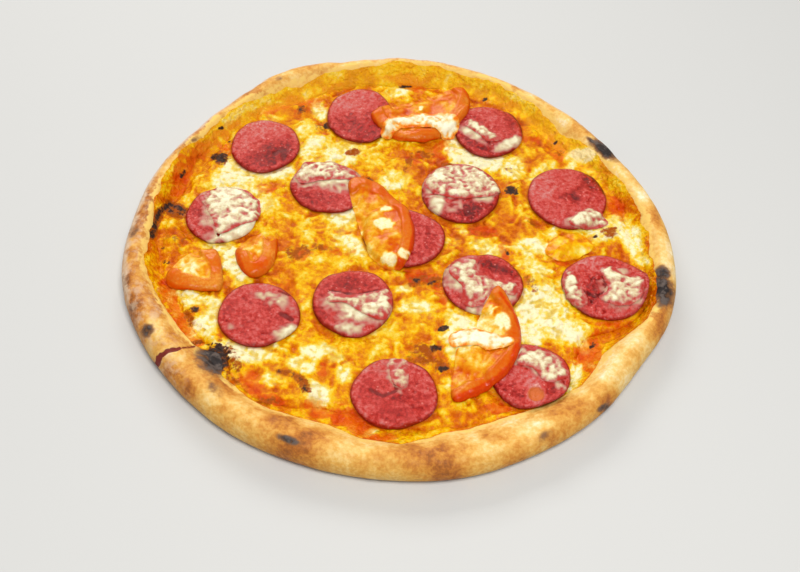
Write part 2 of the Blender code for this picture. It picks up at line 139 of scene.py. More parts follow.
# Cheese that melted over a slice or a tomato piece: outline corners.
CHEESE_ON_SALAMI = {
    "cheese_on_salami_03": ((37, 103), (41, 110), (48, 105), (58, 96), (60, 91), (51, 90),
                            (44, 97)),
    "cheese_on_salami_04": ((102, 23), (106, 31), (116, 37), (124, 32), (125, 25), (113, 21)),
    "cheese_on_salami_05_left": ((98, -15), (103, -17), (108, -29), (110, -38), (104, -41),
                                 (98, -34), (96, -24)),
    "cheese_on_salami_05_right": ((118, -13), (125, -9), (131, -15), (140, -16), (143, -27),
                                  (136, -37), (126, -39), (117, -34), (122, -27)),
    "cheese_on_salami_06": ((13, 48), (16, 59), (28, 67), (44, 66), (56, 58), (60, 46), (49, 39),
                            (36, 37), (24, 38), (17, 41)),
    "cheese_on_salami_07": ((-68, 50), (-62, 61), (-47, 63), (-35, 57), (-28, 48), (-42, 46),
                            (-54, 44), (-63, 41)),
    "cheese_on_salami_08": ((-123, 25), (-112, 34), (-96, 34), (-86, 24), (-87, 8), (-98, 1),
                            (-107, -4), (-112, 7), (-118, 16)),
    "cheese_on_salami_11": ((-38, -42), (-28, -45), (-17, -42), (-4, -38), (-2, -47), (-5, -60),
                            (-17, -58), (-28, -51), (-38, -51)),
    "cheese_on_salami_12": ((29, -22), (35, -11), (47, -9), (46, -19), (55, -26), (68, -27),
                            (68, -36), (56, -37), (48, -46), (38, -44), (38, -33)),
    "cheese_on_salami_13": ((-1, -89), (8, -88), (10, -102), (7, -107), (2, -104), (0, -97)),
    "cheese_on_salami_14": ((69, -86), (71, -77), (80, -73), (90, -77), (97, -86), (94, -93),
                            (84, -95), (77, -87)),
}
CHEESE_ON_TOMATO = {
    "cheese_on_tomato_top": ((-17, 90), (-13, 100), (-2, 108), (14, 111), (27, 111), (33, 104),
                             (31, 94), (24, 91), (18, 96), (6, 97), (-3, 95), (-10, 88)),
    "cheese_on_tomato_large": ((32, -66), (44, -61), (56, -66), (66, -69), (66, -75), (54, -77),
                               (44, -74), (33, -75)),
}
OUTLINE_STEP = 2.0
PATCH_REACH = 1.0
PATCH_EDGE_THICKNESS = 0.6
PATCH_THICKNESS = 1.4
PATCH_EDGE_ROUND = 2.0
PATCH_FILM = 0.7

# The crust's tone runs from 0, dark brown, to 1, floury white.
CRUST_TONE = 0.52
# The sideways change lightens the crust's right side and darkens its left: painted light and painted
# shade.
CRUST_SIDEWAYS_LIGHT = 0.12
CRUST_CONTRAST = 0.75
CRUST_BROWNING = 0.38
CRUST_PALING = 0.24
CRUST_RAMP = ((0.0, (120, 70, 34)), (0.2, (178, 106, 42)), (0.38, (208, 140, 56)),
              (0.56, (226, 172, 84)), (0.72, (238, 198, 120)), (0.86, (244, 216, 158)),
              (1.0, (250, 234, 200)))
FLOUR_COLOUR = (222, 192, 160)
FRINGE_COLOUR = (240, 200, 108)
CRACK_COLOUR = (122, 44, 34)
SINGED_COLOUR = (146, 98, 58)
SOOT_COLOUR = (40, 33, 32)
# Lighter grey on burnt places: ash and painted highlight.
ASH_AND_HIGHLIGHT_COLOUR = (96, 84, 78)

# The bed's tone runs from 0, deep orange in the hollows, to 1, white. It is lowered in the hollows and
# raised on the lumps as painted shade and painted light.
BED_TONE = 0.34
EDGE_LIFT = 0.11
# Painted light that lifts the far inner wall, which the lamps leave in shade.
FAR_WALL_LIGHT_LIFT = 0.08
WHITE_LIFT = 0.64
YELLOW_LIFT = 0.29
MELT_CONTRAST = 0.28
LACE_CONTRAST = 0.24
FAR_WALL = (40.0, 110.0)
CHEESE_RAMP = ((0.0, (176, 66, 0)), (0.16, (200, 90, 0)), (0.32, (214, 118, 0)),
               (0.47, (228, 154, 0)), (0.6, (236, 184, 2)), (0.74, (238, 204, 70)),
               (0.88, (240, 222, 140)), (1.0, (245, 235, 190)))
SAUCE_RAMP = ((0.0, (184, 46, 0)), (0.2, (206, 70, 0)), (0.45, (219, 99, 6)),
              (0.7, (224, 132, 26)), (1.0, (238, 186, 92)))
# Painted shade in the hollows between the white cheese's strands.
HOLLOW_SHADE_COLOUR = (206, 176, 98)
# Painted light on the far inner wall.
FAR_WALL_LIGHT_COLOUR = (255, 202, 44)
BROWN_COLOUR = (162, 76, 6)
SCORCHED_COLOUR = (124, 64, 22)
CHAR_COLOUR = (54, 38, 32)
# Painted shade on the bed round the slices.
SLICE_SHADE_COLOUR = (182, 78, 4)

# The meat's tone runs from 0, dark and dried, to 1, pale fat; its darker and paler places are partly
# painted shade and painted sheen.
SALAMI_TONE = 0.47
SALAMI_DARKENING_AND_SHADE = 0.36
SALAMI_SHEEN = 0.22
SALAMI_RAMP = ((0.0, (92, 8, 4)), (0.2, (148, 14, 6)), (0.4, (184, 42, 34)),
               (0.55, (199, 70, 62)), (0.7, (197, 98, 92)), (0.85, (200, 122, 116)),
               (1.0, (232, 170, 158)))
FAT_COLOUR = (232, 170, 156)
RIM_COLOUR = (138, 28, 12)
HOLE_COLOUR = (206, 104, 44)
# Painted shade along the slices' folds and dents.
CREASE_SHADE_COLOUR = (122, 20, 14)
WALL_COLOUR = (134, 34, 14)

# The tomato's tone runs from 0, red skin, over orange flesh to 1, white bits of cheese. Away from
# the skin it is soaked with oil and cheese and takes the bed's colours.
TOMATO_TONE = 0.45
TOMATO_INNER_TONE = 0.4
TOMATO_SOAKED = 0.5
TOMATO_PALING = 0.42
TOMATO_REDDENING = 0.16
TOMATO_SKIN_TONE = 0.12
TOMATO_BIT_TONE = 0.95
TOMATO_RAMP = ((0.0, (192, 44, 0)), (0.14, (203, 62, 0)), (0.32, (208, 84, 0)),
               (0.5, (210, 108, 20)), (0.66, (222, 146, 50)), (0.8, (234, 190, 106)),
               (1.0, (250, 238, 196)))

# White cheese that melted over slices and tomato pieces runs from bare topping to white. How much
# of each patch is cheese: the topping shows through the rest.
PATCH_USUAL_COVER = 0.7
PATCH_COVER = {"cheese_on_salami_08": 0.8, "cheese_on_salami_12": 0.6,
               "cheese_on_tomato_top": 0.74, "cheese_on_tomato_large": 0.9}
FILM_CONTRAST = 0.44
FILM_RAMP = ((0.15, (180, 54, 46)), (0.32, (185, 84, 76)), (0.46, (189, 122, 106)),
             (0.6, (197, 157, 128)), (0.78, (212, 193, 152)), (0.98, (234, 227, 192)))
TOMATO_FILM_RAMP = ((0.12, (226, 106, 8)), (0.32, (236, 146, 44)), (0.48, (242, 184, 96)),
                    (0.64, (232, 202, 146)), (0.8, (238, 224, 184)), (0.95, (246, 238, 208)))

# Where each tone lies, as seen from the camera at the toppings' level: centre, half length, half
# width, turn in degrees anticlockwise, strength.
WHITE_SPOTS = (
    (-102, 42, 22, 17, 80, 0.9), (-80, 52, 13, 8, -10, 0.9), (-84, 22, 12, 8, 30, 0.8),
    (-94, -24, 24, 7, -70, 1.0), (-107, -12, 8, 5, 20, 0.9), (-114, -53, 15, 5, -5, 0.8),
    (-102, -66, 15, 8, 70, 1.0), (-80, -87, 17, 6, -12, 0.95), (-65, -106, 8, 5, 10, 0.8),
    (-58, 72, 13, 9, 80, 0.85), (-57, 110, 9, 5, -70, 1.0), (-43, 70, 16, 12, 20, 0.85),
    (-36, 20, 12, 9, 50, 1.0), (-29, -4, 12, 6, -45, 0.95), (-5, 52, 10, 8, 10, 0.8),
    (47, 75, 17, 8, 0, 1.0), (68, 68, 10, 7, 80, 0.85), (30, 82, 14, 5, 100, 0.9),
    (112, 83, 12, 6, 40, 0.95), (86, 67, 12, 5, 45, 0.8), (124, 22, 15, 11, 10, 0.85),
    (138, 14, 17, 6, 100, 0.9), (78, 3, 10, 7, 0, 0.8), (79, -12, 11, 6, -30, 0.85),
    (84, -44, 19, 13, 60, 1.0), (95, -58, 13, 10, -20, 0.95), (76, -64, 10, 7, 80, 1.0),
    (105, -64, 8, 4, 110, 0.8), (100, -92, 11, 3.5, 80, 0.8), (53, 1, 10, 6, -15, 0.85),
    (37, -65, 14, 9, 80, 1.0), (4, -36, 5, 3, 0, 0.9), (12, -50, 9, 6, -10, 0.8),
    (-41, -84, 9, 5, 10, 0.95), (-50, -92, 8, 6, -20, 0.95), (-39, -113, 9, 7, -50, 1.0),
    (-24, -97, 6, 4, 80, 0.7), (-30, -88, 5, 3, 0, 0.6), (-8, -134, 4, 2, 30, 0.8),
    (143, -2, 5, 4, 0, 0.8), (30, -100, 6, 3, 80, 0.6), (70, -36, 6, 5, 60, 0.8),
    (-36, 83, 9, 5, 20, 0.7), (-8, 132, 9, 5, 25, 0.7), (-66, 122, 6, 4, -60, 0.35),
    (-70, -82, 8, 4, 0, 0.6), (37, 12, 5, 3, -40, 0.7), (92, 16, 6, 4, 60, 0.7),
    (-64, 92, 6, 8, 0, 0.6), (-90, 98, 12, 4, 20, 0.35), (30, 2, 8, 4, 0, 0.5),
    (-128, 16, 4, 10, 10, 0.6), (86, 38, 3, 8, 20, 0.6),
)
YELLOW_SPOTS = (
    (-53, -27, 15, 9, 60, 1.0), (-57, 3, 10, 6, 80, 1.0), (-44, 9, 7, 5, 0, 0.7),
    (-65, 88, 18, 7, 100, 0.95), (-63, 60, 8, 5, 60, 0.8), (-19, 72, 14, 13, 0, 0.95),
    (-4, 82, 9, 5, 0, 0.8), (-26, 60, 9, 6, 0, 0.9), (-2, 45, 9, 7, 0, 0.8),
    (-3, -71, 19, 9, 20, 1.0), (12, -61, 9, 8, 0, 0.9), (-15, -80, 9, 4, 0, 0.8),
    (-28, -116, 5, 4, 90, 0.9), (75, -4, 7, 4, -20, 0.95), (62, 27, 10, 6, 30, 0.5),
    (76, 34, 7, 5, 0, 0.6), (-117, 46, 9, 8, 0, 0.8), (-80, 2, 9, 5, 0, 0.7),
    (-72, 18, 9, 8, 0, 0.6), (-105, -75, 7, 4, 0, 0.8), (-36, -76, 9, 5, 0, 0.6),
    (-100, 112, 16, 4, 50, 0.7), (-88, 127, 14, 4, 35, 0.8), (118, 64, 14, 6, -50, 0.7),
    (-5, 152, 16, 4, 0, 0.6), (92, 6, 8, 3, 70, 0.6), (12, 42, 9, 8, 0, 0.5),
    (-25, -14, 14, 7, 0, 0.6), (24, -46, 8, 10, 0, 0.5), (-36, -23, 10, 4, 30, 0.9),
    (148, 5, 5, 4, 0, 0.7), (60, 62, 8, 6, 0, 0.6), (-12, 10, 6, 12, 0, 0.3),
    (85, -30, 6, 8, 0, 0.5), (100, -55, 12, 6, -20, 0.7), (-86, 92, 8, 4, 80, 0.6),
)
RED_SPOTS = (
    (-1, 146, 13, 6, 0, 1.0), (5, 137, 7, 4, -10, 0.9), (-19, -129, 18, 8, -18, 1.0),
    (-36, -124, 9, 5, -30, 0.8), (-5, -138, 10, 3, 5, 0.9), (109, -77, 10, 9, 0, 0.95),
    (113, -62, 9, 3, 70, 0.9), (-135, 45, 18, 4, 80, 1.0), (-127, 66, 10, 8, 60, 0.85),
    (-114, 75, 12, 4, 100, 0.7), (-126, -60, 20, 4, -62, 1.0), (-112, -80, 12, 4, -60, 0.9),
    (-73, 118, 15, 7, -15, 0.8), (-70, 108, 7, 5, 90, 0.8), (97, 88, 10, 8, 90, 0.9),
    (131, 42, 10, 5, -60, 0.95), (-57, -15, 6, 5, 0, 1.0), (18, -27, 13, 5, 0, 0.9),
    # The spot at (26, -35), along the left edge of slice 12, is painted shadow.
    (26, -35, 12, 4, 95, 0.95), (25, 80, 14, 5, 80, 0.7), (10, 68, 11, 8, 30, 0.6),
    (63, -2, 6, 3, 100, 0.9), (97, -7, 5, 3, 0, 0.9), (-73, -108, 9, 5, -50, 0.8),
    (-62, -118, 8, 3, -10, 0.95), (14, -124, 9, 4, 25, 0.7), (30, -120, 7, 4, 10, 0.6),
    (58, -113, 9, 3, 15, 0.8), (127, -50, 7, 4, 30, 0.7), (-48, 132, 12, 6, 10, 0.4),
    (-30, 96, 7, 4, 0, 0.3), (70, 24, 12, 5, 10, 0.45), (52, 12, 12, 6, 0, 0.5),
    (78, 100, 16, 6, 100, 0.4), (-52, 88, 7, 4, 60, 0.3), (-60, -42, 12, 4, -50, 0.5),
    (65, 132, 10, 5, -20, 0.5), (32, 145, 12, 5, -15, 0.5), (-64, -63, 6, 3, -40, 0.7),
    (-103, 118, 6, 3, 50, 0.3), (-112, 90, 18, 6, 55, 0.7), (-90, 108, 14, 6, 35, 0.65),
    (-126, 78, 12, 4, 75, 0.6), (112, 100, 12, 5, -45, 0.5), (-85, 37, 12, 5, -25, 0.4),
    (-34, -10, 10, 4, 0, 0.5),
    (78, -21, 8, 4, -60, 0.5), (-22, -85, 9, 4, 0, 0.3), (-36, -96, 6, 5, 30, 0.45),
)
CHAR_SPOTS = (
    (-115, 60, 5, 4, 0, 1.0), (-119, 87, 2, 1.3, 60, 1.0), (-50, 96, 5, 3.5, 40, 0.85),
    (67, 49, 4.5, 3.5, 30, 0.8), (-136, 44, 4, 1.2, 70, 0.9), (28, -62, 3.5, 1.8, 30, 1.0),
    (24, -76, 3.5, 2.5, 0, 0.9), (29, -90, 3, 2.2, 0, 0.9), (-113, -61, 4, 2.5, 30, 0.6),
    (111, -68, 3, 1, 60, 1.0), (12, -127, 4, 1.5, 30, 0.9), (50, 131, 2.5, 1.2, 60, 0.9),
    (-137, -16, 3, 2, 70, 0.4), (12, -29, 4, 2, 0, 0.5), (21, -30, 4, 2, 20, 0.5),
    (118, 15, 2, 1, 50, 0.7), (96, 94, 3, 1.2, 60, 0.7), (-3, 139, 6, 1.2, 5, 0.6),
    (-112, 75, 2, 1, 0, 0.5), (-20, 49, 5, 1.5, -30, 0.6), (-134, -27, 3, 2, 0, 0.4),
    (-96, -92, 10, 7, -65, 0.92), (-62, -118, 5, 2, 0, 0.4), (64, -3, 2, 3, 0, 0.4),
    (-69, 110, 5, 2, 100, 0.45), (-89, -90, 7, 2, -70, 0.45),
)
BROWN_SPOTS = (
    (-33, 73, 5, 4, 0, 1.0), (18, -81, 8, 6, 0, 0.66), (125, 20, 8, 4, 20, 0.7),
    (-57, -15, 8, 7, 0, 0.6), (3, 67, 9, 3, 80, 0.7), (-50, 96, 9, 6, 0, 0.5),
    (-115, 60, 8, 6, 0, 0.5), (-69, 110, 6, 4, 90, 0.6), (20, -29, 13, 5, 0, 0.6),
    (-45, -9, 9, 3, -10, 0.5), (10, 75, 10, 4, 20, 0.5), (28, 66, 7, 4, 0, 0.6),
    (-114, -66, 9, 3, -60, 0.5), (78, 22, 6, 4, 0, 0.4), (27, -88, 5, 4, 0, 0.7),
    (126, 15, 7, 3, 70, 0.5), (-62, -119, 8, 3, 0, 0.5), (-60, -64, 5, 3, 0, 0.7),
    (65, 66, 5, 3, 0, 0.4), (135, -46, 8, 3, 30, 0.3), (77, -26, 8, 4, -70, 0.5),
    (-84, -107, 10, 4, -60, 0.5), (-88, -94, 14, 6, -70, 0.62), (98, 85, 7, 3, 80, 0.5),
    (-128, -4, 15, 10, 80, 0.3),
)
# Char drawn along a line: corners of the line, half width, strength.
CHAR_LINES = (
    (((-146, -8), (-146, 4), (-144, 12), (-140, 18), (-135, 16), (-128, 12), (-123, 4)), 1.5, 0.8),
    (((-142, 15), (-137, 11), (-132, 11)), 1.6, 0.6),
    # The third line, from (-60, -99), darkens a crease in the cheese: painted shade as well as
    # scorching.
    (((-60, -99), (-54, -100), (-48, -103), (-44, -110)), 1.3, 0.42),
    (((-118, -86), (-112, -85), (-104, -83)), 0.9, 0.42),
)
SAUCE_LINES = (
    (((-131, -44), (-127, -58), (-119, -72), (-110, -86)), 5.0, 1.0),
    (((-140, 58), (-139, 40), (-137, 28)), 4.0, 0.9),
    (((-105, -84), (-112, -86), (-118, -88)), 2.0, 1.0),
)

# Marks on the crust, placed the same way as the tones.
CRUST_CHAR = (
    (155.5, -24, 12, 5.5, 92, 1.0), (156, -11, 6, 4, 80, 0.85), (127, 92, 10, 4.5, -52, 0.95),
    (-135.5, -77, 4.5, 3, 100, 0.75), (-50, -142, 5.5, 2.2, -20, 0.75), (-96, -92, 12, 8, -65, 1.0),
    (84, -130, 5, 3, 30, 0.35), (116, -108, 4, 1.8, 40, 0.7), (-139, 62, 4, 3, 100, 0.5),
    (-134, 75, 3, 2, 60, 0.45), (-88, 139, 3, 2, 30, 0.4), (-157, -6, 5, 2.5, 80, 0.45),
    (119, 99, 4, 1.5, -50, 0.8), (-92, -112, 6, 4, -60, 0.4),
)
CRUST_BROWN = (
    (88, -127, 11, 6, 40, 0.8), (63, -125, 5, 4, 0, 0.55), (58, -133, 4, 2.5, 0, 0.5),
    (51, -132, 3, 2, 0, 0.5), (39, -140, 3, 6, 0, 0.45), (-55, -130, 9, 5, 20, 0.45),
    (-124, -83, 7, 4, 60, 0.7), (-107, -114, 6, 4, -50, 0.6), (-88, -125, 6, 3, 20, 0.45),
    (155, 38, 10, 3, 100, 0.6), (144, 44, 10, 6, 100, 0.4), (-151, 4, 42, 9, 93, 0.6),
    (-130, 68, 10, 5, 60, 0.5), (-118, 96, 8, 4, 60, 0.5), (116, -107, 8, 5, 50, 0.7),
    (133, 82, 8, 4, -60, 0.55), (150, -30, 22, 7, 95, 0.55), (128, -50, 8, 5, 40, 0.6),
    (95, -112, 10, 6, 40, 0.4), (21, 163, 6, 2, 0, 0.5), (-36, -140, 10, 5, -15, 0.35),
    (-120, -102, 8, 5, -50, 0.4), (108, 108, 6, 4, -50, 0.4), (0, -148, 44, 9, 0, 0.6),
    (70, -120, 10, 3, 20, 0.4), (-145, -62, 8, 4, 110, 0.4), (-88, -113, 10, 6, -50, 0.7),
    (124, -85, 8, 3, 50, 0.3), (110, 115, 4, 2, -40, 0.4), (-86, 138, 7, 3, 30, 0.4),
)
CRUST_PALE = (
    (-20, 158, 34, 5, 4, 0.9), (-84, 138, 30, 5, 35, 0.6), (-143, -38, 26, 5, 100, 0.9),
    (-132, -72, 22, 4, -55, 0.6), (122, -74, 20, 6, 60, 0.8), (45, -125, 22, 3, 14, 0.7),
    (138, 66, 16, 5, -60, 0.8), (98, 112, 10, 5, -50, 0.7), (-20, -150, 20, 4, 0, 0.4),
    (20, -138, 16, 3, 10, 0.5), (-108, 126, 14, 3, 50, 0.5), (100, -102, 9, 3, 45, 0.8),
)
# The crack in the crust: corners of its lines, half width, strength.
CRACKS = (
    (((-126, -101), (-125.5, -95), (-122, -91), (-116, -88.5)), 1.4, 1.0),
    (((-116, -88.5), (-108, -86.5)), 0.7, 0.8),
)
CRACK_DEPTH = 1.3

# Folds and dents of the slices: corners of the line, half width, depth.
SALAMI_CREASES = (
    (((-38, -42), (-22, -44), (-12, -40), (-2, -37)), 1.0, 0.7),
    (((-63, -61), (-57, -64)), 1.6, 0.9), (((-66, -44), (-61, -46), (-58, -42)), 1.2, 0.8),
    (((-10, -108), (-3, -112), (4, -108), (3, -103)), 1.3, 0.7),
    (((73, -77), (80, -81), (90, -85)), 1.0, 0.7), (((-82, 66), (-78, 70), (-76, 62)), 2.4, 0.6),
    (((105, -28), (114, -33), (122, -30)), 1.2, 0.6), (((120, -18), (121, -26), (117, -33)), 1.0, 0.6),
    (((114, 69), (120, 62), (124, 52)), 1.6, 0.5), (((-107, 17), (-108, 8), (-107, -5)), 1.4, 0.9),
    (((64, 122), (72, 112), (74, 102)), 1.4, 0.5), (((12, -128), (3, -127), (-3, -125)), 1.0, 0.3),
)
# Darker red places on the slices, mostly on their near halves, which are real darker meat and painted
# shade, and paler, pinker ones, mostly on their far halves, which are painted sheen; placed as the tones
# are.
SALAMI_DARK_AND_SHADE_SPOTS = (
    (-84, 66, 14, 11, 20, 0.9), (-94, 60, 16, 6, 10, 0.5), (-30, 94, 16, 8, -10, 0.55),
    (-38, 104, 6, 4, -30, 0.5), (46, 90, 14, 7, -20, 0.6), (66, 112, 12, 5, 110, 0.5),
    (103, 48, 7, 6, 0, 0.6), (118, 60, 11, 5, -50, 0.75), (114, -28, 9, 5, 80, 0.9),
    (40, 28, 13, 7, 15, 0.9), (56, 36, 10, 5, 60, 0.6), (-57, 32, 12, 7, -20, 0.5),
    (14, 3, 5, 9, 0, 0.3), (-27, -32, 7, 6, 20, 0.55), (-44, -56, 10, 4, 110, 0.5),
    (58, -14, 12, 4, -20, 0.8), (0, -111, 12, 4, 5, 0.5), (62, -102, 12, 4, -20, 0.5),
    (90, -98, 8, 4, 50, 0.6), (-24, -42, 18, 14, 0, 0.5), (3, -108, 16, 14, 0, 0.2),
    (142, -23, 8, 3, 90, 0.6), (-113, 2, 14, 3, 120, 0.6), (18, 36, 8, 4, -50, 0.6),
    (-66, -60, 7, 4, 0, 0.35),
)
SALAMI_SHEEN_SPOTS = (
    (-88, 88, 15, 9, 0, 0.9), (-102, 74, 6, 9, 0, 0.5), (-38, 121, 14, 8, 15, 0.75),
    (-46, 112, 7, 9, 0, 0.6), (54, 118, 9, 6, -20, 0.6), (92, 58, 10, 9, 40, 0.6),
    (88, 46, 8, 10, 0, 0.5), (112, -8, 12, 6, 20, 0.7), (130, -6, 9, 4, -25, 0.6),
    (14, 16, 6, 6, 0, 0.4), (-32, -28, 12, 4, 30, 0.5), (-12, -32, 8, 3, -40, 0.6),
    (-76, -44, 13, 4, 5, 0.5), (-90, -50, 5, 7, -30, 0.4), (6, -92, 12, 5, 0, 0.4),
    (20, -104, 4, 7, 0, 0.4), (76, -94, 14, 10, 0, 0.75), (-58, 44, 6, 4, 0, 0.4),
    (-36, 40, 7, 4, 0, 0.5), (-118, 22, 6, 4, 100, 0.3),
)
# Cheese smears that lie thinly on the slices.
SALAMI_SMEARS = (
    (44, 100, 12, 6, -40, 0.75), (66, 93, 12, 4, 45, 0.95), (41, 109, 6, 5, 0, 0.5),
    (116, 30, 13, 5, 20, 0.85), (102, -28, 5, 13, 10, 0.75), (131, -26, 12, 12, 0, 0.7),
    (128, -12, 8, 3, 20, 0.5), (30, 50, 18, 13, 10, 0.8), (20, 35, 6, 9, -30, 0.75),
    (50, 48, 9, 8, 0, 0.7), (32, 34, 10, 5, 0, 0.45), (-48, 53, 20, 9, 5, 0.95),
    (-38, 44, 10, 5, 0, 0.6), (-60, 44, 7, 5, 0, 0.5), (-101, 20, 18, 15, 60, 1.0),
    (-90, 10, 8, 18, 0, 1.0), (-98, -3, 14, 7, 0, 1.0), (-96, 3, 13, 6, 0, 1.0),
    (-112, 32, 12, 5, 0, 0.95), (-107, -8, 6, 3, 0, 0.7),
    (-9, -14, 6, 4, 0, 0.6), (-66, -50, 10, 6, -30, 0.62), (-60, -72, 7, 5, 40, 0.9),
    (-74, -46, 8, 3, 0, 0.55), (-88, -70, 5, 3, 0, 0.4), (-22, -51, 17, 8, -15, 0.72),
    (-25, -65, 6, 4, 0, 0.75), (-8, -53, 7, 9, 0, 0.6), (37, -24, 10, 13, 60, 0.8),
    (50, -35, 15, 6, -10, 0.75), (61, -32, 10, 5, 0, 0.7), (34, -11, 7, 6, 0, 0.75),
    (42, -46, 8, 5, 0, 0.6), (5, -95, 4, 11, 0, 0.75), (-5, -92, 6, 4, 0, 0.4),
    (84, -84, 13, 6, -35, 0.85), (71, -78, 5, 5, 0, 0.7), (92, -91, 4, 8, 0, 0.6),
)
# A round hole in the last slice: centre, radius.
SALAMI_HOLE = (79, -104, 4.6)

# On the tomato pieces: the skin that turns up to the light, paler and redder flesh, and bits of
# cheese.
TOMATO_SKIN_LINES = (
    (((71, -72), (68, -84), (61, -94), (50, -103), (37, -111)), 3.6, 1.0),
    (((60, -34), (68, -48), (72, -62), (71, -72)), 1.2, 0.7),
    (((6, 24), (9, 10), (8, 0), (6, -10)), 1.6, 0.9), (((2, -13), (1, -22)), 2.6, 0.8),
    (((-132, -42), (-124, -46), (-112, -48), (-102, -47)), 1.6, 0.6),
    (((-24, 107), (-20, 98), (-14, 93)), 2.2, 0.8), (((-10, 90), (6, 87), (20, 90)), 1.4, 0.7),
    (((34, 104), (40, 116), (41, 130), (36, 142)), 1.8, 0.6),
    (((-94, -18), (-88, -32), (-80, -37)), 1.4, 0.6), (((-71, -4), (-70, -20)), 1.4, 0.8),
)
TOMATO_PALE = (
    (-26, 20, 20, 5, 105, 0.6), (-14, 12, 10, 12, 0, 0.4), (12, 122, 11, 8, 0, 0.3),
    (44, -82, 12, 8, 30, 0.5), (50, -60, 10, 10, 0, 0.9), (-117, -34, 16, 10, -30, 0.85),
    (-18, -8, 10, 6, 100, 0.6), (-88, -8, 5, 8, 30, 0.2), (44, -98, 9, 6, 40, 0.3),
    (109, 3, 4, 3, 0, 1.0), (102, 8, 12, 7, 0, 0.3), (-84, -24, 6, 5, 0, 0.2),
    (-78, -12, 6, 4, 0, 0.3),
)
TOMATO_RED = (
    (-14, 36, 14, 6, -40, 0.4), (3, 14, 14, 4, 100, 0.4), (-10, 106, 8, 7, 0, 0.4),
    (-8, 20, 6, 4, 0, 0.9), (-80, -22, 8, 5, 0, 0.6), (48, -76, 8, 4, 0, 0.5),
    (4, 112, 12, 5, 0, 0.5),
)
TOMATO_BITS = (
    (-9, 26, 4, 3, 0, 0.8), (-9, 14, 6, 5, -10, 0.95), (-6, -14, 4, 6, 10, 0.95),
    (2, -8, 4, 5, 30, 0.8), (6, -18, 4, 3, 0, 0.8), (-22, 2, 4, 8, 10, 0.6),
    (8, 119, 3, 1.6, 70, 0.9), (18, 137, 2, 1.6, 0, 0.9), (62, -54, 6, 7, 20, 0.85),
    (56, -46, 5, 5, 20, 0.6), (-120, -31, 9, 5, -30, 0.6), (-86, -14, 6, 2, -10, 0.6),
    (32, 92, 4, 3, 0, 0.6), (40, -72, 6, 6, 0, 0.7),
)

# The relief's grid, and how fine the pieces' meshes are.
GRID_STEP = 0.5
GRID_HALF = 172.0
RAISED_REACH = 2.0
CHEESE_STEP = 0.86
SAUCE_STEP = 1.2
SALAMI_STEP = 0.8
TOMATO_STEP = 0.6
PATCH_STEP = 0.6
CRUST_SECTORS = 1140
NOISE_CELLS = 256
NOISE_SHIFT = (91.3, 57.7)

# The floor in metres, and the soft lights: name, place and size in metres, power, tint.
FLOOR_SIZE = 4.0
FLOOR_COLOUR = (202, 202, 200)
LIGHTS = (("window", (-0.4, 1.25, 0.85), (1.1, 0.45), 13.0, (1.0, 0.98, 0.95)),
          ("overhead", (0.15, -0.5, 1.35), (0.6, 0.6), 17.0, (1.0, 0.99, 0.97)))
SKY_STRENGTH = 0.32


def ease(low, high, value):
    """0 below low, 1 above high, and smooth between. low may be the larger one."""
    t = np.clip((value - low) / (high - low), 0.0, 1.0)
    return t * t * (3 - 2 * t)


def mixed(a, b, share):
    """A value between a and b, the share being b's."""
    return a * (1 - share) + b * share


def spline(p0, p1, p2, p3, t):
    return 0.5 * (2 * p1 + (p2 - p0) * t + (2 * p0 - 5 * p1 + 4 * p2 - p3) * t * t
                  + (3 * p1 - p0 - 3 * p2 + p3) * t ** 3)


def around(values, angle):
    """The values at angles of a ring of evenly spaced ones, smoothly joined."""
    ring = np.array(values, float)
    place = (angle / (2 * math.pi) % 1.0) * len(ring)
    first = np.floor(place).astype(int)
    near = [ring[(first + step) % len(ring)] for step in (-1, 0, 1, 2)]
    return spline(*near, place - first)


def bump(x, y, centre_x, centre_y, radius):
    distance = np.hypot(x - centre_x, y - centre_y) / radius
    return np.clip(1 - distance * distance, 0.0, None) ** 2


def mounds(x, y, marks):
    return sum(rise * bump(x, y, *round_mark) for *round_mark, rise in marks)


def make_waves(seed, count=6):
    """Directions and phases of crossing waves, drawn as for the solids."""
    draw = random.Random(seed)
    waves = []
    for _ in range(count):
        turn = draw.uniform(0, 2 * math.pi)
        waves.append((math.cos(turn), math.sin(turn), draw.uniform(0.8, 1.25),
                      draw.uniform(0, 2 * math.pi)))
    return waves


def unevenness(x, y, wavelength, waves):
    total = 0.0
    for across, along, pace, phase in waves:
        total = total + np.sin((x * across + y * along) * pace * 2 * math.pi / wavelength + phase)
    return total / math.sqrt(2 * len(waves))


CRUST_WAVES = make_waves(11)
CHEESE_WAVES = make_waves(23)
SALAMI_WAVES = make_waves(37)
TOMATO_WAVES = make_waves(41)


def noise(x, y, wavelength, seed):
    """Smooth random unevenness between -1 and 1."""
    table = np.random.default_rng(seed).uniform(-1, 1, (NOISE_CELLS, NOISE_CELLS))
    u = x / wavelength + NOISE_SHIFT[0]
    v = y / wavelength + NOISE_SHIFT[1]
    i = np.floor(u).astype(int)
    j = np.floor(v).astype(int)
    s = ease(0, 1, u - i)
    t = ease(0, 1, v - j)
    i, next_i = i % NOISE_CELLS, (i + 1) % NOISE_CELLS
    j, next_j = j % NOISE_CELLS, (j + 1) % NOISE_CELLS
    low = mixed(table[i, j], table[next_i, j], s)
    high = mixed(table[i, next_j], table[next_i, next_j], s)
    return mixed(low, high, t)


def rough(x, y, wavelength, seed, octaves=3):
    """Noise with finer noise on it."""
    total = 0.0
    size = 0.0
    for octave in range(octaves):
        share = 0.5 ** octave
        total = total + share * noise(x, y, wavelength * 0.47 ** octave, seed + octave)
        size += share
    return total / size


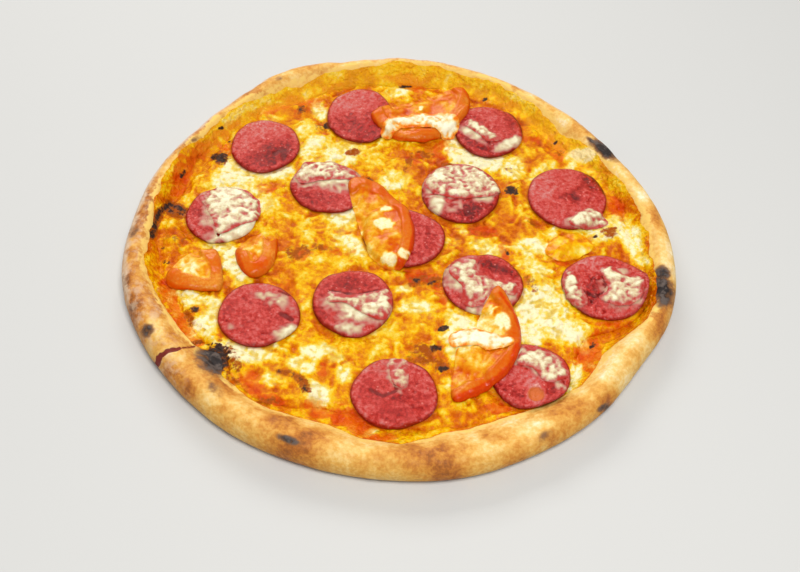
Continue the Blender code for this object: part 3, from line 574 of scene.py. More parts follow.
def melt(x, y):
    """Smooth lumps and streaks, about -1 to 1, that the cheese's form and colour share."""
    u = x + 3.5 * noise(x, y, 10.0, 801)
    v = y + 3.5 * noise(x, y, 10.0, 802)
    return 0.75 * noise(u, v, 6.5, 803) + 0.5 * noise(u, v, 3.1, 804)


def lace(x, y):
    """White cheese's strands and blobs round small hollows, about -1 to 1."""
    u = x + 1.6 * noise(x, y, 5.0, 821)
    v = y + 1.6 * noise(x, y, 5.0, 822)
    strands = 0.75 - 2.1 * np.abs(noise(u, v, 3.9, 823))
    blobs = 0.4 * noise(u, v, 6.0, 825) + 0.55 * noise(u, v, 2.4, 824)
    return 0.22 * strands + blobs + 0.22 * noise(x, y, 1.7, 826)


def spots(x, y, marks, seed=5, outer=1.9, inner=0.2):
    """How strongly soft oval marks cover each point: about half their strength on the oval."""
    far = 3.0 * noise(x, y, 13.0, seed)
    wide = 3.0 * noise(x, y, 13.0, seed + 50)
    total = np.zeros(np.shape(x))
    for centre_x, centre_y, length, width, turn, strength in marks:
        give = min(1.0, width / 8.0)
        dx = x + far * give - centre_x
        dy = y + wide * give - centre_y
        reach = max(length, width) * outer
        near = (np.abs(dx) < reach) & (np.abs(dy) < reach)
        if not near.any():
            continue
        c, s = math.cos(math.radians(turn)), math.sin(math.radians(turn))
        along = (dx[near] * c + dy[near] * s) / length
        across = (dy[near] * c - dx[near] * s) / width
        cover = strength * ease(outer, inner, np.hypot(along, across))
        total[near] = np.maximum(total[near], cover)
    return total


def laced(mask, x, y, seed, size=5.0, amount=1.1, sharp=0.18):
    """A soft mask with frayed edges and holes; where the mask is 0 it stays 0."""
    grain = 0.6 * rough(x, y, size, seed) + 0.4 * rough(x, y, size * 0.42, seed + 10, 2)
    return ease(0.5 - sharp, 0.5 + sharp, mask + amount * grain * ease(0.0, 0.3, mask))


def line_distance(x, y, corners):
    """The distance from each point to a chain of straight stretches."""
    best = np.full(np.shape(x), 1e9)
    for (ax, ay), (bx, by) in zip(corners, corners[1:]):
        dx, dy = bx - ax, by - ay
        along = np.clip(((x - ax) * dx + (y - ay) * dy) / (dx * dx + dy * dy), 0.0, 1.0)
        best = np.minimum(best, np.hypot(x - ax - along * dx, y - ay - along * dy))
    return best


def lines(x, y, marks, seed=9, growth=1.0):
    """How strongly ragged lines cover each point, 0 to 1."""
    wander = 1.0 * rough(x, y, 5.0, seed)
    total = np.zeros(np.shape(x))
    for corners, half_width, strength in marks:
        half_width = half_width * growth
        distance = line_distance(x, y, corners) + wander * min(1.0, half_width / 2)
        total = np.maximum(total, strength * ease(half_width * 1.5, half_width * 0.5, distance))
    return total


def closed_curve(corners, step):
    """Points about step apart on the smooth closed curve through the corners."""
    count = len(corners)
    points = []
    for i in range(count):
        near = [corners[(i + offset) % count] for offset in (-1, 0, 1, 2)]
        pieces = max(1, round(math.dist(near[1], near[2]) / step))
        for piece in range(pieces):
            t = piece / pieces
            points.append((spline(*(p[0] for p in near), t), spline(*(p[1] for p in near), t)))
    return points


def inside_outline(x, y, outline):
    """The distance to an outline, above 0 inside it and below 0 outside."""
    loop = outline + outline[:1]
    inside = np.zeros(np.shape(x), bool)
    for (ax, ay), (bx, by) in zip(loop, loop[1:]):
        if ay == by:
            continue
        crosses = ((ay > y) != (by > y)) & (x < ax + (y - ay) * (bx - ax) / (by - ay))
        inside ^= crosses
    return np.where(inside, 1.0, -1.0) * line_distance(x, y, loop)


def crust_radius(angle):
    return around(CRUST_RADII, angle)


def topping_inset(angle):
    return around(TOPPING_INSETS, angle)


def crust_height(angle):
    height = CRUST_HEIGHT
    for turns, rise, phase in CRUST_HEIGHT_WAVES:
        height = height + rise * np.sin(turns * angle + phase)
    return height


def crust_upper(inset, angle):
    """The dough's height above its bulge at an inset from the outside, without its lumps."""
    topping = topping_inset(angle)
    crest = np.minimum(CREST_INSET, topping - CREST_TO_TOPPING)
    height = crust_height(angle)
    inner_end = topping + INNER_SLOPE
    turn = np.arccos(np.clip(1 - inset / crest, 0.0, 1.0))
    outer = BULGE_HEIGHT + (height - BULGE_HEIGHT) * np.sin(turn)
    down = 0.5 + 0.5 * np.cos(math.pi * np.clip((inset - crest) / (inner_end - crest), 0.0, 1.0))
    inner = BASE_THICKNESS + (height - BASE_THICKNESS) * down
    return np.where(inset < crest, outer, inner)


def crust_lumps(x, y, height, inset, angle):
    """The crust's lumps and burst bubbles, which fade out under the topping."""
    under = ease(0.0, INNER_SLOPE, inset - topping_inset(angle))
    lift = ease(BULGE_HEIGHT, BULGE_HEIGHT + 4, height)
    lumps = LUMP_HEIGHT * unevenness(x, y, 26.0, CRUST_WAVES) * (1 - under)
    texture = 0.4 * rough(x, y, 11.0, 301) + 0.22 * rough(x, y, 3.6, 305, 2)
    lumps = lumps + texture * (1 - under) + mounds(x, y, BLISTERS)
    lumps = lumps - CRACK_DEPTH * lines(*seen_place(x, y, height), CRACKS, 301)
    return lumps * np.maximum(lift, under)


def seen_place(x, y, z):
    """Where the camera's line of sight through a point meets the toppings' level."""
    cx, cy, cz = CAMERA_PLACE
    share = (cz - TOPPING_LEVEL) / (cz - z)
    return cx + (x - cx) * share, cy + (y - cy) * share


class Relief:
    """How high the pieces laid so far reach, on a fine square grid."""

    def __init__(self):
        axis = np.arange(-GRID_HALF, GRID_HALF + GRID_STEP / 2, GRID_STEP)
        self.x, self.y = np.meshgrid(axis, axis)
        radius = np.hypot(self.x, self.y)
        angle = np.arctan2(self.y, self.x)
        inset = crust_radius(angle) - radius
        dough = crust_upper(np.maximum(inset, 0.0), angle)
        dough = dough + crust_lumps(self.x, self.y, dough, inset, angle)
        self.z = np.where(inset > 0, dough, 0.0)

    def window(self, box):
        low_x, low_y, high_x, high_y = (
            int(np.clip(round((value + GRID_HALF) / GRID_STEP), 0, len(self.z) - 1)) for value in box)
        return slice(low_y, high_y + 1), slice(low_x, high_x + 1)

    def sample(self, field, window, x, y):
        """Values of a field over a window at any points in it."""
        rows, columns = window
        u = np.clip((x + GRID_HALF) / GRID_STEP - columns.start, 0, field.shape[1] - 1.001)
        v = np.clip((y + GRID_HALF) / GRID_STEP - rows.start, 0, field.shape[0] - 1.001)
        i = np.floor(u).astype(int)
        j = np.floor(v).astype(int)
        s, t = u - i, v - j
        low = mixed(field[j, i], field[j, i + 1], s)
        high = mixed(field[j + 1, i], field[j + 1, i + 1], s)
        return mixed(low, high, t)


def drape(field, reach):
    """A stiff sheet's height over a field: at least as high, and smooth over the reach."""
    cells = max(1, round(reach / GRID_STEP))
    sheet = field.copy()
    for _ in range(cells):
        wide = np.pad(sheet, 1, mode="edge")
        sheet = np.maximum.reduce([wide[1:-1, 1:-1], wide[:-2, 1:-1], wide[2:, 1:-1],
                                   wide[1:-1, :-2], wide[1:-1, 2:]])
    for _ in range(cells * cells // 2 + 1):
        wide = np.pad(sheet, 1, mode="edge")
        sheet = (wide[:-2, 1:-1] + wide[2:, 1:-1] + wide[1:-1, :-2] + wide[1:-1, 2:]
                 + 2 * wide[1:-1, 1:-1]) / 6
    return np.maximum(sheet, field)


def blurred(field, reach):
    """A field averaged over squares that extend the reach each way."""
    cells = max(1, round(reach / GRID_STEP))
    for _ in range(2):
        wide = np.pad(field, ((cells + 1, cells), (0, 0)), mode="edge").cumsum(axis=0)
        field = ((wide[2 * cells + 1:] - wide[:-2 * cells - 1]) / (2 * cells + 1)).T
    return field


def outline_middle():
    """The middle of the box round the crust's outline, which is the frame's origin."""
    angle = np.arange(96) * 2 * math.pi / 96
    x = crust_radius(angle) * np.cos(angle)
    y = crust_radius(angle) * np.sin(angle)
    return (x.min() + x.max()) / 2, (y.min() + y.max()) / 2


MIDDLE = outline_middle()


def add_piece(name, corners, faces, masks, material, nodes):
    """A mesh piece in the frame, with its masks as point attributes."""
    placed = (np.asarray(corners) - (MIDDLE[0], MIDDLE[1], 0.0)) * MM
    mesh = bpy.data.meshes.new(name)
    mesh.from_pydata(placed.tolist(), [], faces)
    for label, values in masks.items():
        attribute = mesh.attributes.new(label, "FLOAT", "POINT")
        attribute.data.foreach_set("value", np.asarray(values, np.float32))
    mesh.materials.append(material)
    mesh.shade_smooth()
    mesh.set_sharp_from_angle(angle=math.radians(60))
    piece = bpy.data.objects.new(name, mesh)
    bpy.context.scene.collection.objects.link(piece)
    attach(piece, "root")
    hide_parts(*nodes)
    return piece


def grid_cells(inside, box, step):
    """Square cells that cover where inside is above 0, their corners drawn in to its edge."""
    xs = np.arange(box[0], box[2] + step, step)
    ys = np.arange(box[1], box[3] + step, step)
    x, y = np.meshgrid(xs, ys)
    depth = inside(x, y)
    kept = depth > -0.2 * step
    cells = ((kept[:-1, :-1].astype(int) + kept[:-1, 1:] + kept[1:, :-1] + kept[1:, 1:]) >= 3)
    used = np.zeros(x.shape, bool)
    for rows, columns in ((slice(0, -1), slice(0, -1)), (slice(0, -1), slice(1, None)),
                          (slice(1, None), slice(0, -1)), (slice(1, None), slice(1, None))):
        used[rows, columns] |= cells
    number = np.full(x.shape, -1)
    number[used] = np.arange(used.sum())
    quads = np.stack([number[:-1, :-1][cells], number[:-1, 1:][cells],
                      number[1:, 1:][cells], number[1:, :-1][cells]], axis=1)
    x, y = x[used], y[used]
    rim = rim_corners(quads, len(x))
    for _ in range(3):
        depth = inside(x[rim], y[rim])
        probe = 0.05
        slope_x = (inside(x[rim] + probe, y[rim]) - depth) / probe
        slope_y = (inside(x[rim], y[rim] + probe) - depth) / probe
        steep = np.maximum(slope_x ** 2 + slope_y ** 2, 0.2)
        x[rim] -= np.clip(depth * slope_x / steep, -step, step)
        y[rim] -= np.clip(depth * slope_y / steep, -step, step)
    return x, y, quads


def rim_edges(quads):
    """The edges that only one cell uses, in its direction."""
    starts = quads.ravel()
    ends = np.roll(quads, -1, axis=1).ravel()
    size = int(quads.max()) + 1
    forward = starts.astype(np.int64) * size + ends
    backward = ends.astype(np.int64) * size + starts
    lone = ~np.isin(forward, backward)
    return starts[lone], ends[lone]


def rim_corners(quads, count):
    starts, _ = rim_edges(quads)
    marked = np.zeros(count, bool)
    marked[starts] = True
    return np.flatnonzero(marked)


def lay_piece(relief, name, inside, thickness, masks, box, step, reach, material,
              closed=True, limp=None):
    """Lays a piece on the relief: a top over the drawn-in cells, walls, and an underside.

    One that isn't closed has no underside, and its walls reach into what it lies on. Where limp is
    1 the piece sags onto what is below it.
    """
    window = relief.window((box[0] - 2, box[1] - 2, box[2] + 2, box[3] + 2))
    gx, gy = relief.x[window], relief.y[window]
    below = relief.z[window]
    under = drape(below, reach) + GAP if reach else below + SHEET_GAP
    depth = inside(gx, gy)
    if limp:
        sag = limp(gx, gy, depth)
        under = mixed(under, below + GAP, sag)
    covered = depth > 0
    body = thickness(gx, gy, np.maximum(depth, 0.0))
    relief.z[window] = np.where(covered, np.maximum(under + body, below), below)
    # raised, the height above the local mean, is turned by the looks into painted shade in hollows and
    # painted light on lumps.
    raised = body - blurred(body, RAISED_REACH)

    x, y, quads = grid_cells(inside, box, step)
    depth = np.maximum(inside(x, y), 0.0)
    low = relief.sample(under, window, x, y)
    high = low + thickness(x, y, depth)
    if not closed:
        low = low - 2 * GAP
    count = len(x)
    corners = np.concatenate([np.stack([x, y, high], 1), np.stack([x, y, low], 1)])
    starts, ends = rim_edges(quads)
    walls = np.stack([ends, starts, starts + count, ends + count], axis=1)
    faces = [quads, walls]
    if closed:
        faces.append(quads[:, ::-1] + count)
    faces = np.concatenate(faces)
    used = np.unique(faces)
    renumber = np.full(2 * count, -1)
    renumber[used] = np.arange(len(used))
    corners = corners[used]
    values = masks(*corners.T)
    values["wall"] = (used >= count).astype(float)
    values["raised"] = relief.sample(raised, window, corners[:, 0], corners[:, 1])
    return add_piece(name, corners, renumber[faces].tolist(), values, material, [name])


# Materials

class Look:
    """Builds one material's nodes."""

    def __init__(self, name):
        self.material = bpy.data.materials.new(name)
        self.material.use_nodes = True
        self.tree = self.material.node_tree
        self.shader = self.tree.nodes["Principled BSDF"]
        self.place = self.tree.nodes.new("ShaderNodeTexCoord").outputs["Object"]

    def link(self, value, socket):
        if isinstance(value, bpy.types.NodeSocket):
            self.tree.links.new(value, socket)
        elif isinstance(value, tuple):
            socket.default_value = (*value, 1.0)
        else:
            socket.default_value = value

    def mask(self, name):
        node = self.tree.nodes.new("ShaderNodeAttribute")
        node.attribute_name = name
        return node.outputs["Fac"]

    def noise(self, wavelength, detail=3.0, roughness=0.55, distortion=0.0):
        node = self.tree.nodes.new("ShaderNodeTexNoise")
        node.inputs["Scale"].default_value = 1.0 / (wavelength * MM)
        node.inputs["Detail"].default_value = detail
        node.inputs["Roughness"].default_value = roughness
        node.inputs["Distortion"].default_value = distortion
        self.tree.links.new(self.place, node.inputs["Vector"])
        return node.outputs["Fac"]

    def cells(self, size):
        node = self.tree.nodes.new("ShaderNodeTexVoronoi")
        node.inputs["Scale"].default_value = 1.0 / (size * MM)
        self.tree.links.new(self.place, node.inputs["Vector"])
        return node.outputs["Distance"]

    def maths(self, operation, a, b):
        node = self.tree.nodes.new("ShaderNodeMath")
        node.operation = operation
        self.link(a, node.inputs[0])
        self.link(b, node.inputs[1])
        return node.outputs[0]

    def span(self, value, low, high, to_low=0.0, to_high=1.0):
        """The value's way from low to high, smoothly, as a number from to_low to to_high."""
        node = self.tree.nodes.new("ShaderNodeMapRange")
        node.interpolation_type = "SMOOTHSTEP"
        self.link(value, node.inputs["Value"])
        node.inputs["From Min"].default_value = low
        node.inputs["From Max"].default_value = high
        node.inputs["To Min"].default_value = to_low
        node.inputs["To Max"].default_value = to_high
        return node.outputs["Result"]

    def grain(self, wavelength, detail=4.0, roughness=0.6, distortion=0.0):
        """Noise stretched to run from 0 to 1."""
        return self.span(self.noise(wavelength, detail, roughness, distortion), 0.32, 0.68)

    def blend(self, a, b, share):
        """A number between a and b, the share being b's."""
        kept = self.maths("MULTIPLY", a, 1.0 - share)
        return self.maths("ADD", kept, self.maths("MULTIPLY", b, share))

    def frayed(self, name, grain, amount=0.5, low=0.35, high=0.65):
        """A mask whose edge is broken up by a grain; where the mask is 0 it stays 0."""
        mask = self.mask(name)
        shaken = self.maths("MULTIPLY", self.maths("SUBTRACT", grain, 0.5), amount)
        shaken = self.maths("MULTIPLY", shaken, self.span(mask, 0.0, 0.3))
        return self.span(self.maths("ADD", mask, shaken), low, high)

    def mix(self, share, a, b):
        node = self.tree.nodes.new("ShaderNodeMix")
        node.data_type = "RGBA"
        self.link(share, node.inputs["Factor"])
        self.link(a, node.inputs[6])
        self.link(b, node.inputs[7])
        return node.outputs[2]

    def over(self, tone, share, display):
        """The tone with a display colour over a share of it."""
        return self.mix(share, tone, colour(*display))

    def part(self, name, share):
        """A mask made weaker."""
        return self.maths("MULTIPLY", self.mask(name), share)

    def shaken(self, grain, amount):
        """A grain that runs half the amount each way from 0."""
        return self.maths("MULTIPLY", self.maths("SUBTRACT", grain, 0.5), amount)

    def relief_shaded(self, name, depths, lifts, shaken):
        """A mask's value, with painted shade in the hollows and painted light on the lumps, and shaken.
        """
        raised = self.span(self.mask("raised"), *depths, *lifts)
        return self.maths("ADD", self.mask(name), self.maths("ADD", raised, shaken))

    def ramp(self, value, stops):
        """A colour that runs through the stops: places from 0 to 1, and display colours."""
        node = self.tree.nodes.new("ShaderNodeValToRGB")
        elements = node.color_ramp.elements
        while len(elements) < len(stops):
            elements.new(0.5)
        for element, (place, display) in zip(elements, stops):
            element.position = place
            element.color = (*colour(*display), 1.0)
        self.link(value, node.inputs["Fac"])
        return node.outputs["Color"]

    def set(self, name, value):
        self.link(value, self.shader.inputs[name])

    def bumps(self, height, distance, strength=1.0):
        node = self.tree.nodes.new("ShaderNodeBump")
        node.inputs["Strength"].default_value = strength
        node.inputs["Distance"].default_value = distance * MM
        self.tree.links.new(height, node.inputs["Height"])
        self.tree.links.new(node.outputs["Normal"], self.shader.inputs["Normal"])

    def surface(self, tone, roughness, specular):
        self.set("Base Color", tone)
        self.set("Roughness", roughness)
        self.set("Specular IOR Level", specular)

    def translucence(self, weight, radius, scale):
        self.set("Subsurface Weight", weight)
        self.shader.inputs["Subsurface Radius"].default_value = radius
        self.set("Subsurface Scale", scale * MM)


def colour(red, green, blue):
    """A linear colour from 0 to 255 display values."""
    linear = []
    for value in (red, green, blue):
        share = value / 255
        linear.append(share / 12.92 if share <= 0.04045 else ((share + 0.055) / 1.055) ** 2.4)
    return tuple(linear)


def melted_tones(look, fine):
    """The bed's colour: from red-brown in the hollows, partly painted shade, over orange and yellow to
    cream, with painted shade in the white cheese's hollows and painted light on the far inner wall.
    """
    value = look.relief_shaded("tone", (-0.6, 0.5), (-0.18, 0.12), look.shaken(fine, 0.24))
    tone = look.ramp(value, CHEESE_RAMP)
    red = look.ramp(value, SAUCE_RAMP)
    tone = look.mix(look.frayed("red", fine, 0.4, 0.2, 0.8), tone, red)
    # Painted shade in the white cheese's hollows.
    tone = look.over(tone, look.part("hollow", 0.6), HOLLOW_SHADE_COLOUR)
    # Painted light on the far inner wall.
    tone = look.over(tone, look.part("far", 0.42), FAR_WALL_LIGHT_COLOUR)
    tone = look.over(tone, look.frayed("brown", fine, 0.6, 0.1, 0.9), BROWN_COLOUR)
    tone = look.over(tone, look.frayed("char", fine, 0.6, 0.0, 0.55), SCORCHED_COLOUR)
    return look.over(tone, look.frayed("char", fine, 0.8, 0.35, 0.95), CHAR_COLOUR)


def make_oily(look, tone, fine, middle):
    """Moist with oil, and lumpy."""
    look.surface(tone, look.span(middle, 0.0, 1.0, 0.1, 0.22), 0.1)
    look.bumps(look.blend(middle, fine, 0.35), 1.1, 0.9)


def cheese_look():
    """Melted cheese, with painted shade round the slices."""
    look = Look("melted_cheese_look")
    fine = look.grain(2.2, 4.0)
    middle = look.grain(3.6, 2.0, 0.4, 0.5)
    tone = look.over(melted_tones(look, fine), look.part("shade", 0.6), SLICE_SHADE_COLOUR)
    make_oily(look, tone, fine, middle)
    look.translucence(0.1, (1.0, 0.5, 0.1), 1.5)
    return look.material


def sauce_look():
    """Tomato sauce with oil: pulpy, with melted bits at its edge."""
    look = Look("tomato_sauce_look")
    fine = look.grain(2.2, 4.0)
    middle = look.grain(3.2, 2.0, 0.4, 0.5)
    make_oily(look, melted_tones(look, fine), fine, middle)
    look.translucence(0.08, (1.0, 0.4, 0.1), 1.2)
    return look.material


def salami_look():
    """Fine-grained cooked salami: rosy meat, small flecks of fat, a darker edge, painted sheen on the
    far halves, and painted shade on the near halves and along the creases.
    """
    look = Look("salami_look")
    grain = look.grain(2.0, 4.0, 0.6)
    middle = look.grain(3.4, 3.0, 0.6, 0.4)
    shaken = look.maths("ADD", look.shaken(grain, 0.3), look.shaken(middle, 0.24))
    tone = look.ramp(look.relief_shaded("tone", (-0.3, 0.25), (-0.2, 0.1), shaken), SALAMI_RAMP)
    flecks = look.maths("MULTIPLY", look.span(look.cells(3.4), 0.22, 0.08), middle)
    tone = look.over(tone, look.maths("MULTIPLY", flecks, 0.55), FAT_COLOUR)
    film = look.ramp(look.mask("smear"), FILM_RAMP)
    tone = look.mix(look.span(look.mask("smear"), 0.15, 0.4), tone, film)
    bare = look.span(look.mask("smear"), 0.6, 0.3)
    tone = look.over(tone, look.maths("MULTIPLY", look.part("rim", 0.7), bare), RIM_COLOUR)
    tone = look.over(tone, look.part("hole", 0.95), HOLE_COLOUR)
    # Painted shade along the folds and dents.
    tone = look.over(tone, look.frayed("crease", grain, 0.5), CREASE_SHADE_COLOUR)
    tone = look.over(tone, look.maths("MULTIPLY", look.mask("wall"), bare), WALL_COLOUR)
    look.surface(tone, look.span(middle, 0.0, 1.0, 0.1, 0.26), 0.24)
    look.translucence(0.06, (1.0, 0.35, 0.25), 1.2)
    look.bumps(look.blend(middle, grain, 0.4), 0.7, 0.9)
    return look.material


def tomato_look():
    """Cooked tomato: glossy red-orange skin, soft orange flesh, pale bits of cheese."""
    look = Look("tomato_look")
    fine = look.grain(1.5, 3.0)
    middle = look.grain(5.0, 3.0, distortion=0.3)
    value = look.maths("ADD", look.mask("tone"), look.shaken(fine, 0.12))
    flesh = look.ramp(value, TOMATO_RAMP)
    soaked = look.ramp(value, CHEESE_RAMP)
    tone = look.mix(look.mask("soaked"), flesh, soaked)
    look.surface(tone, look.span(fine, 0.0, 1.0, 0.12, 0.26), 0.16)
    look.translucence(0.12, (1.0, 0.35, 0.05), 1.5)
    look.bumps(look.blend(middle, fine, 0.2), 0.4, 0.6)
    return look.material


def patch_look():
    """White cheese melted over a topping, so thin in places that the topping's colour shows."""
    look = Look("white_cheese_look")
    fine = look.grain(1.4, 3.0)
    middle = look.grain(3.4, 2.0, 0.4, 0.4)
    value = look.relief_shaded("film", (-0.4, 0.35), (-0.12, 0.12), look.shaken(fine, 0.2))
    over_meat = look.ramp(value, FILM_RAMP)
    over_tomato = look.ramp(value, TOMATO_FILM_RAMP)
    tone = look.mix(look.mask("on_tomato"), over_meat, over_tomato)
    look.surface(tone, look.span(middle, 0.0, 1.0, 0.12, 0.26), 0.2)
    look.translucence(0.1, (1.0, 0.6, 0.35), 1.2)
    look.bumps(look.blend(middle, fine, 0.15), 0.4, 0.7)
    return look.material


def crust_look():
    """Baked dough: golden, floury, browned in patches, charred on its bubbles."""
    look = Look("crust_look")
    fine = look.grain(2.2, 4.0)
    middle = look.grain(4.5, 3.0, 0.6)
    value = look.relief_shaded("tone", (-0.3, 0.25), (-0.1, 0.08), look.shaken(fine, 0.18))
    tone = look.ramp(value, CRUST_RAMP)
    tone = look.over(tone, look.frayed("flour", middle, 0.5, 0.1, 1.0), FLOUR_COLOUR)
    tone = look.over(tone, look.frayed("fringe", middle, 0.7, 0.2, 0.9), FRINGE_COLOUR)
    tone = look.over(tone, look.frayed("crack", fine, 0.4), CRACK_COLOUR)
    # The burnt colour runs from soot to a lighter grey, which is ash and painted highlight.
    burnt = look.mix(look.span(middle, 0.3, 1.0), colour(*SOOT_COLOUR), colour(*ASH_AND_HIGHLIGHT_COLOUR))
    tone = look.over(tone, look.frayed("char", middle, 0.3, 0.0, 0.6), SINGED_COLOUR)
    tone = look.mix(look.frayed("char", middle, 0.4, 0.3, 0.9), tone, burnt)
    look.surface(tone, look.span(middle, 0.0, 1.0, 0.5, 0.75), 0.2)
    look.translucence(0.05, (1.0, 0.6, 0.3), 1.2)
    look.bumps(look.blend(middle, fine, 0.25), 0.6, 0.6)
    return look.material


# Masks

def tone_masks(x, y, z):
    """The tones that the cheese and the sauce share."""
    u, v = seen_place(x, y, z)
    white = spots(u, v, WHITE_SPOTS, 35, 1.8, 0.4)
    yellow = spots(u, v, YELLOW_SPOTS, 45)
    red = np.maximum(spots(u, v, RED_SPOTS, 25), lines(u, v, SAUCE_LINES, 29))
    char = np.maximum(spots(u, v, CHAR_SPOTS, 15, 1.45, 0.4), lines(u, v, CHAR_LINES))
    scorched = 0.9 * ease(0.0, 0.6, lines(u, v, CHAR_LINES, 9, 2.2))
    brown = np.maximum(spots(u, v, BROWN_SPOTS, 55, 1.7, 0.3), scorched)
    angle = np.arctan2(y, x)
    from_edge = crust_radius(angle) - topping_inset(angle) - np.hypot(x, y)
    on_wall = ease(14.0, 6.0, from_edge)
    x = mixed(x, u, on_wall)
    y = mixed(y, v, on_wall)
    # far marks the far inner wall, whose tone painted light lifts.
    far = on_wall * ease(*FAR_WALL, y)
    base = (BED_TONE + 0.12 * noise(x, y, 16.0, 811) + EDGE_LIFT * ease(9.0, 1.0, from_edge)
            + FAR_WALL_LIGHT_LIFT * far)
    clumps = 0.6 * white + 0.4 * laced(white, x, y, 521, 6.0, 0.8, 0.35)
    strongest = np.maximum(WHITE_LIFT * clumps, YELLOW_LIFT * yellow)
    strands = lace(x, y)
    calm = 1 - 0.65 * clumps - 0.35 * yellow * (1 - clumps)
    texture = MELT_CONTRAST * calm * melt(x, y) + LACE_CONTRAST * clumps * strands
    return {
        "tone": base + strongest + texture,
        # hollow: where painted shade lies between the white cheese's strands.
        "hollow": clumps * ease(-0.1, -0.7, strands),
        # far: where painted light lies on the far inner wall.
        "far": far,
        "red": laced(red - 0.3 * ease(5.0, 0.0, from_edge), x, y, 541, sharp=0.4),
        "brown": laced(brown, x, y, 561, 3.5, 0.8, 0.4),
        "char": laced(char, x, y, 581, 2.5, 0.9, 0.35),
    }


def clear_of_salami(x, y):
    """How far each point is from the nearest slice, about 0 on its edge."""
    best = np.full(np.shape(x), 1e9)
    for centre_x, centre_y, half_width, half_depth in SALAMI:
        ratio = np.hypot((x - centre_x) / half_width, (y - centre_y) / half_depth)
        best = np.minimum(best, (ratio - 1) * (half_width + half_depth) / 2)
    return best


def cheese_masks(x, y, z):
    values = tone_masks(x, y, z)
    # shade is painted shade on the bed round each slice, except where cheese is smeared over it.
    values["shade"] = ease(1.6, 0.2, clear_of_salami(x, y)) * ease(0.5, 0.1, smear_film(x, y))
    return values


# Pieces

def dough_rings(angle):
    """Radii and heights of the dough's rings, from under the foot over the crest to the middle.

    Also the number of the first ring that carries the crust's lumps.
    """
    radius = crust_radius(angle)
    topping = topping_inset(angle)
    crest = np.minimum(CREST_INSET, topping - CREST_TO_TOPPING)
    height = crust_height(angle)
    rings = []
    for share in (0.25, 0.5, 0.7, 0.85):
        rings.append((radius * share, np.zeros(len(angle))))
    for turn in np.radians(np.arange(0, 90, 9)):
        rings.append((radius - FOOT_INSET * (1 - math.sin(turn)),
                      np.full(len(angle), BULGE_HEIGHT * (1 - math.cos(turn)))))
    first_upper = len(rings)
    for turn in np.radians(np.arange(0, 90, 5)):
        rings.append((radius - crest * (1 - math.cos(turn)),
                      BULGE_HEIGHT + (height - BULGE_HEIGHT) * math.sin(turn)))
    shares = [*np.linspace(0, 1, 26), 1.3, 1.7]
    for share in shares:
        inset = crest + (topping + 5.0 - crest) * share
        inset = np.minimum(inset, topping + INNER_SLOPE)
        rings.append((radius - inset, crust_upper(inset, angle)))
    inner = radius - topping - INNER_SLOPE
    for share in (0.95, 0.9, 0.7, 0.4):
        rings.append((inner * share, np.full(len(angle), BASE_THICKNESS)))
    return np.array([ring[0] for ring in rings]), np.array([ring[1] for ring in rings]), first_upper


def make_dough(relief):
    angle = np.arange(CRUST_SECTORS) * 2 * math.pi / CRUST_SECTORS
    r, z, first_upper = dough_rings(angle)
    turn = np.broadcast_to(angle, r.shape)
    inset = crust_radius(angle) - r
    lumps = crust_lumps(r * np.cos(turn), r * np.sin(turn), z, inset, turn)
    upper = (np.arange(len(r)) >= first_upper)[:, None]
    side = ease(1.0, 5.0, z) * ease(15.0, 8.0, z) * (inset < 5)
    along = angle * 160
    hollow = 0.5 + 0.3 * rough(along + 0.5 * z, z, 13.0, 401) + 0.1 * rough(along, z, 4.0, 411)
    r = r - side * hollow
    z = z + np.where(upper, lumps, 0.0)
    x = (r * np.cos(turn)).ravel()
    y = (r * np.sin(turn)).ravel()
    number = np.arange(r.size).reshape(r.shape)
    ahead = np.roll(number, -1, axis=1)
    quads = np.stack([number[:-1], ahead[:-1], ahead[1:], number[1:]], axis=-1).reshape(-1, 4)
    faces = [*quads.tolist(), number[0][::-1].tolist(), number[-1].tolist()]
    corners = np.stack([x, y, z.ravel()], axis=-1)
    masks = crust_masks(x, y, z.ravel(), inset.ravel(), turn.ravel())
    window = relief.window((-GRID_HALF, -GRID_HALF, GRID_HALF, GRID_HALF))
    # raised gives the crust's inner part painted shade in hollows and painted light on lumps.
    raised = relief.z - blurred(relief.z, RAISED_REACH)
    masks["raised"] = relief.sample(raised, window, x, y) * ease(4.0, 9.0, inset.ravel())
    return add_piece("dough", corners, faces, masks, crust_look(), ["dough"])


def crust_masks(x, y, z, inset, angle):
    u, v = seen_place(x, y, z)
    foot = 0.7 * ease(5.0, 1.5, z) * ease(12.0, 6.0, inset)
    left = 0.3 * ease(-70.0, -140.0, x)
    rim = 0.95 * ease(8.0, 2.0, inset) * ease(-40.0, 60.0, y - 0.5 * x)
    fringe = 0.85 * ease(5.5, 0.3, topping_inset(angle) - inset + 1.5 * noise(x, y, 8.0, 71))
    brown = spots(u, v, CRUST_BROWN, 85) * (1 + 0.4 * rough(x, y, 6.0, 621))
    pale = spots(u, v, CRUST_PALE, 89) * (1 + 0.4 * rough(x, y, 6.0, 641))
    mottled = 0.3 * noise(x, y, 19.0, 651) + 0.2 * noise(x, y, 8.0, 652) + 0.1 * noise(x, y, 3.5, 653)
    # The sideways term is painted light on the crust's right, which faces away from the lamps, and
    # painted shade on its left.
    tone = (CRUST_TONE + CRUST_SIDEWAYS_LIGHT * np.clip(x / 140, -1, 1) + CRUST_CONTRAST * mottled
            - CRUST_BROWNING * brown + CRUST_PALING * pale)
    return {
        "tone": tone,
        "char": spots(u, v, CRUST_CHAR, 81, 1.7, 0.3) * (1 + 0.35 * rough(x, y, 5.0, 601)),
        "flour": np.maximum.reduce([foot, rim, left]) * (1 + 0.5 * rough(x, y, 8.0, 661)),
        "fringe": fringe,
        "crack": lines(u, v, CRACKS, 301),
    }


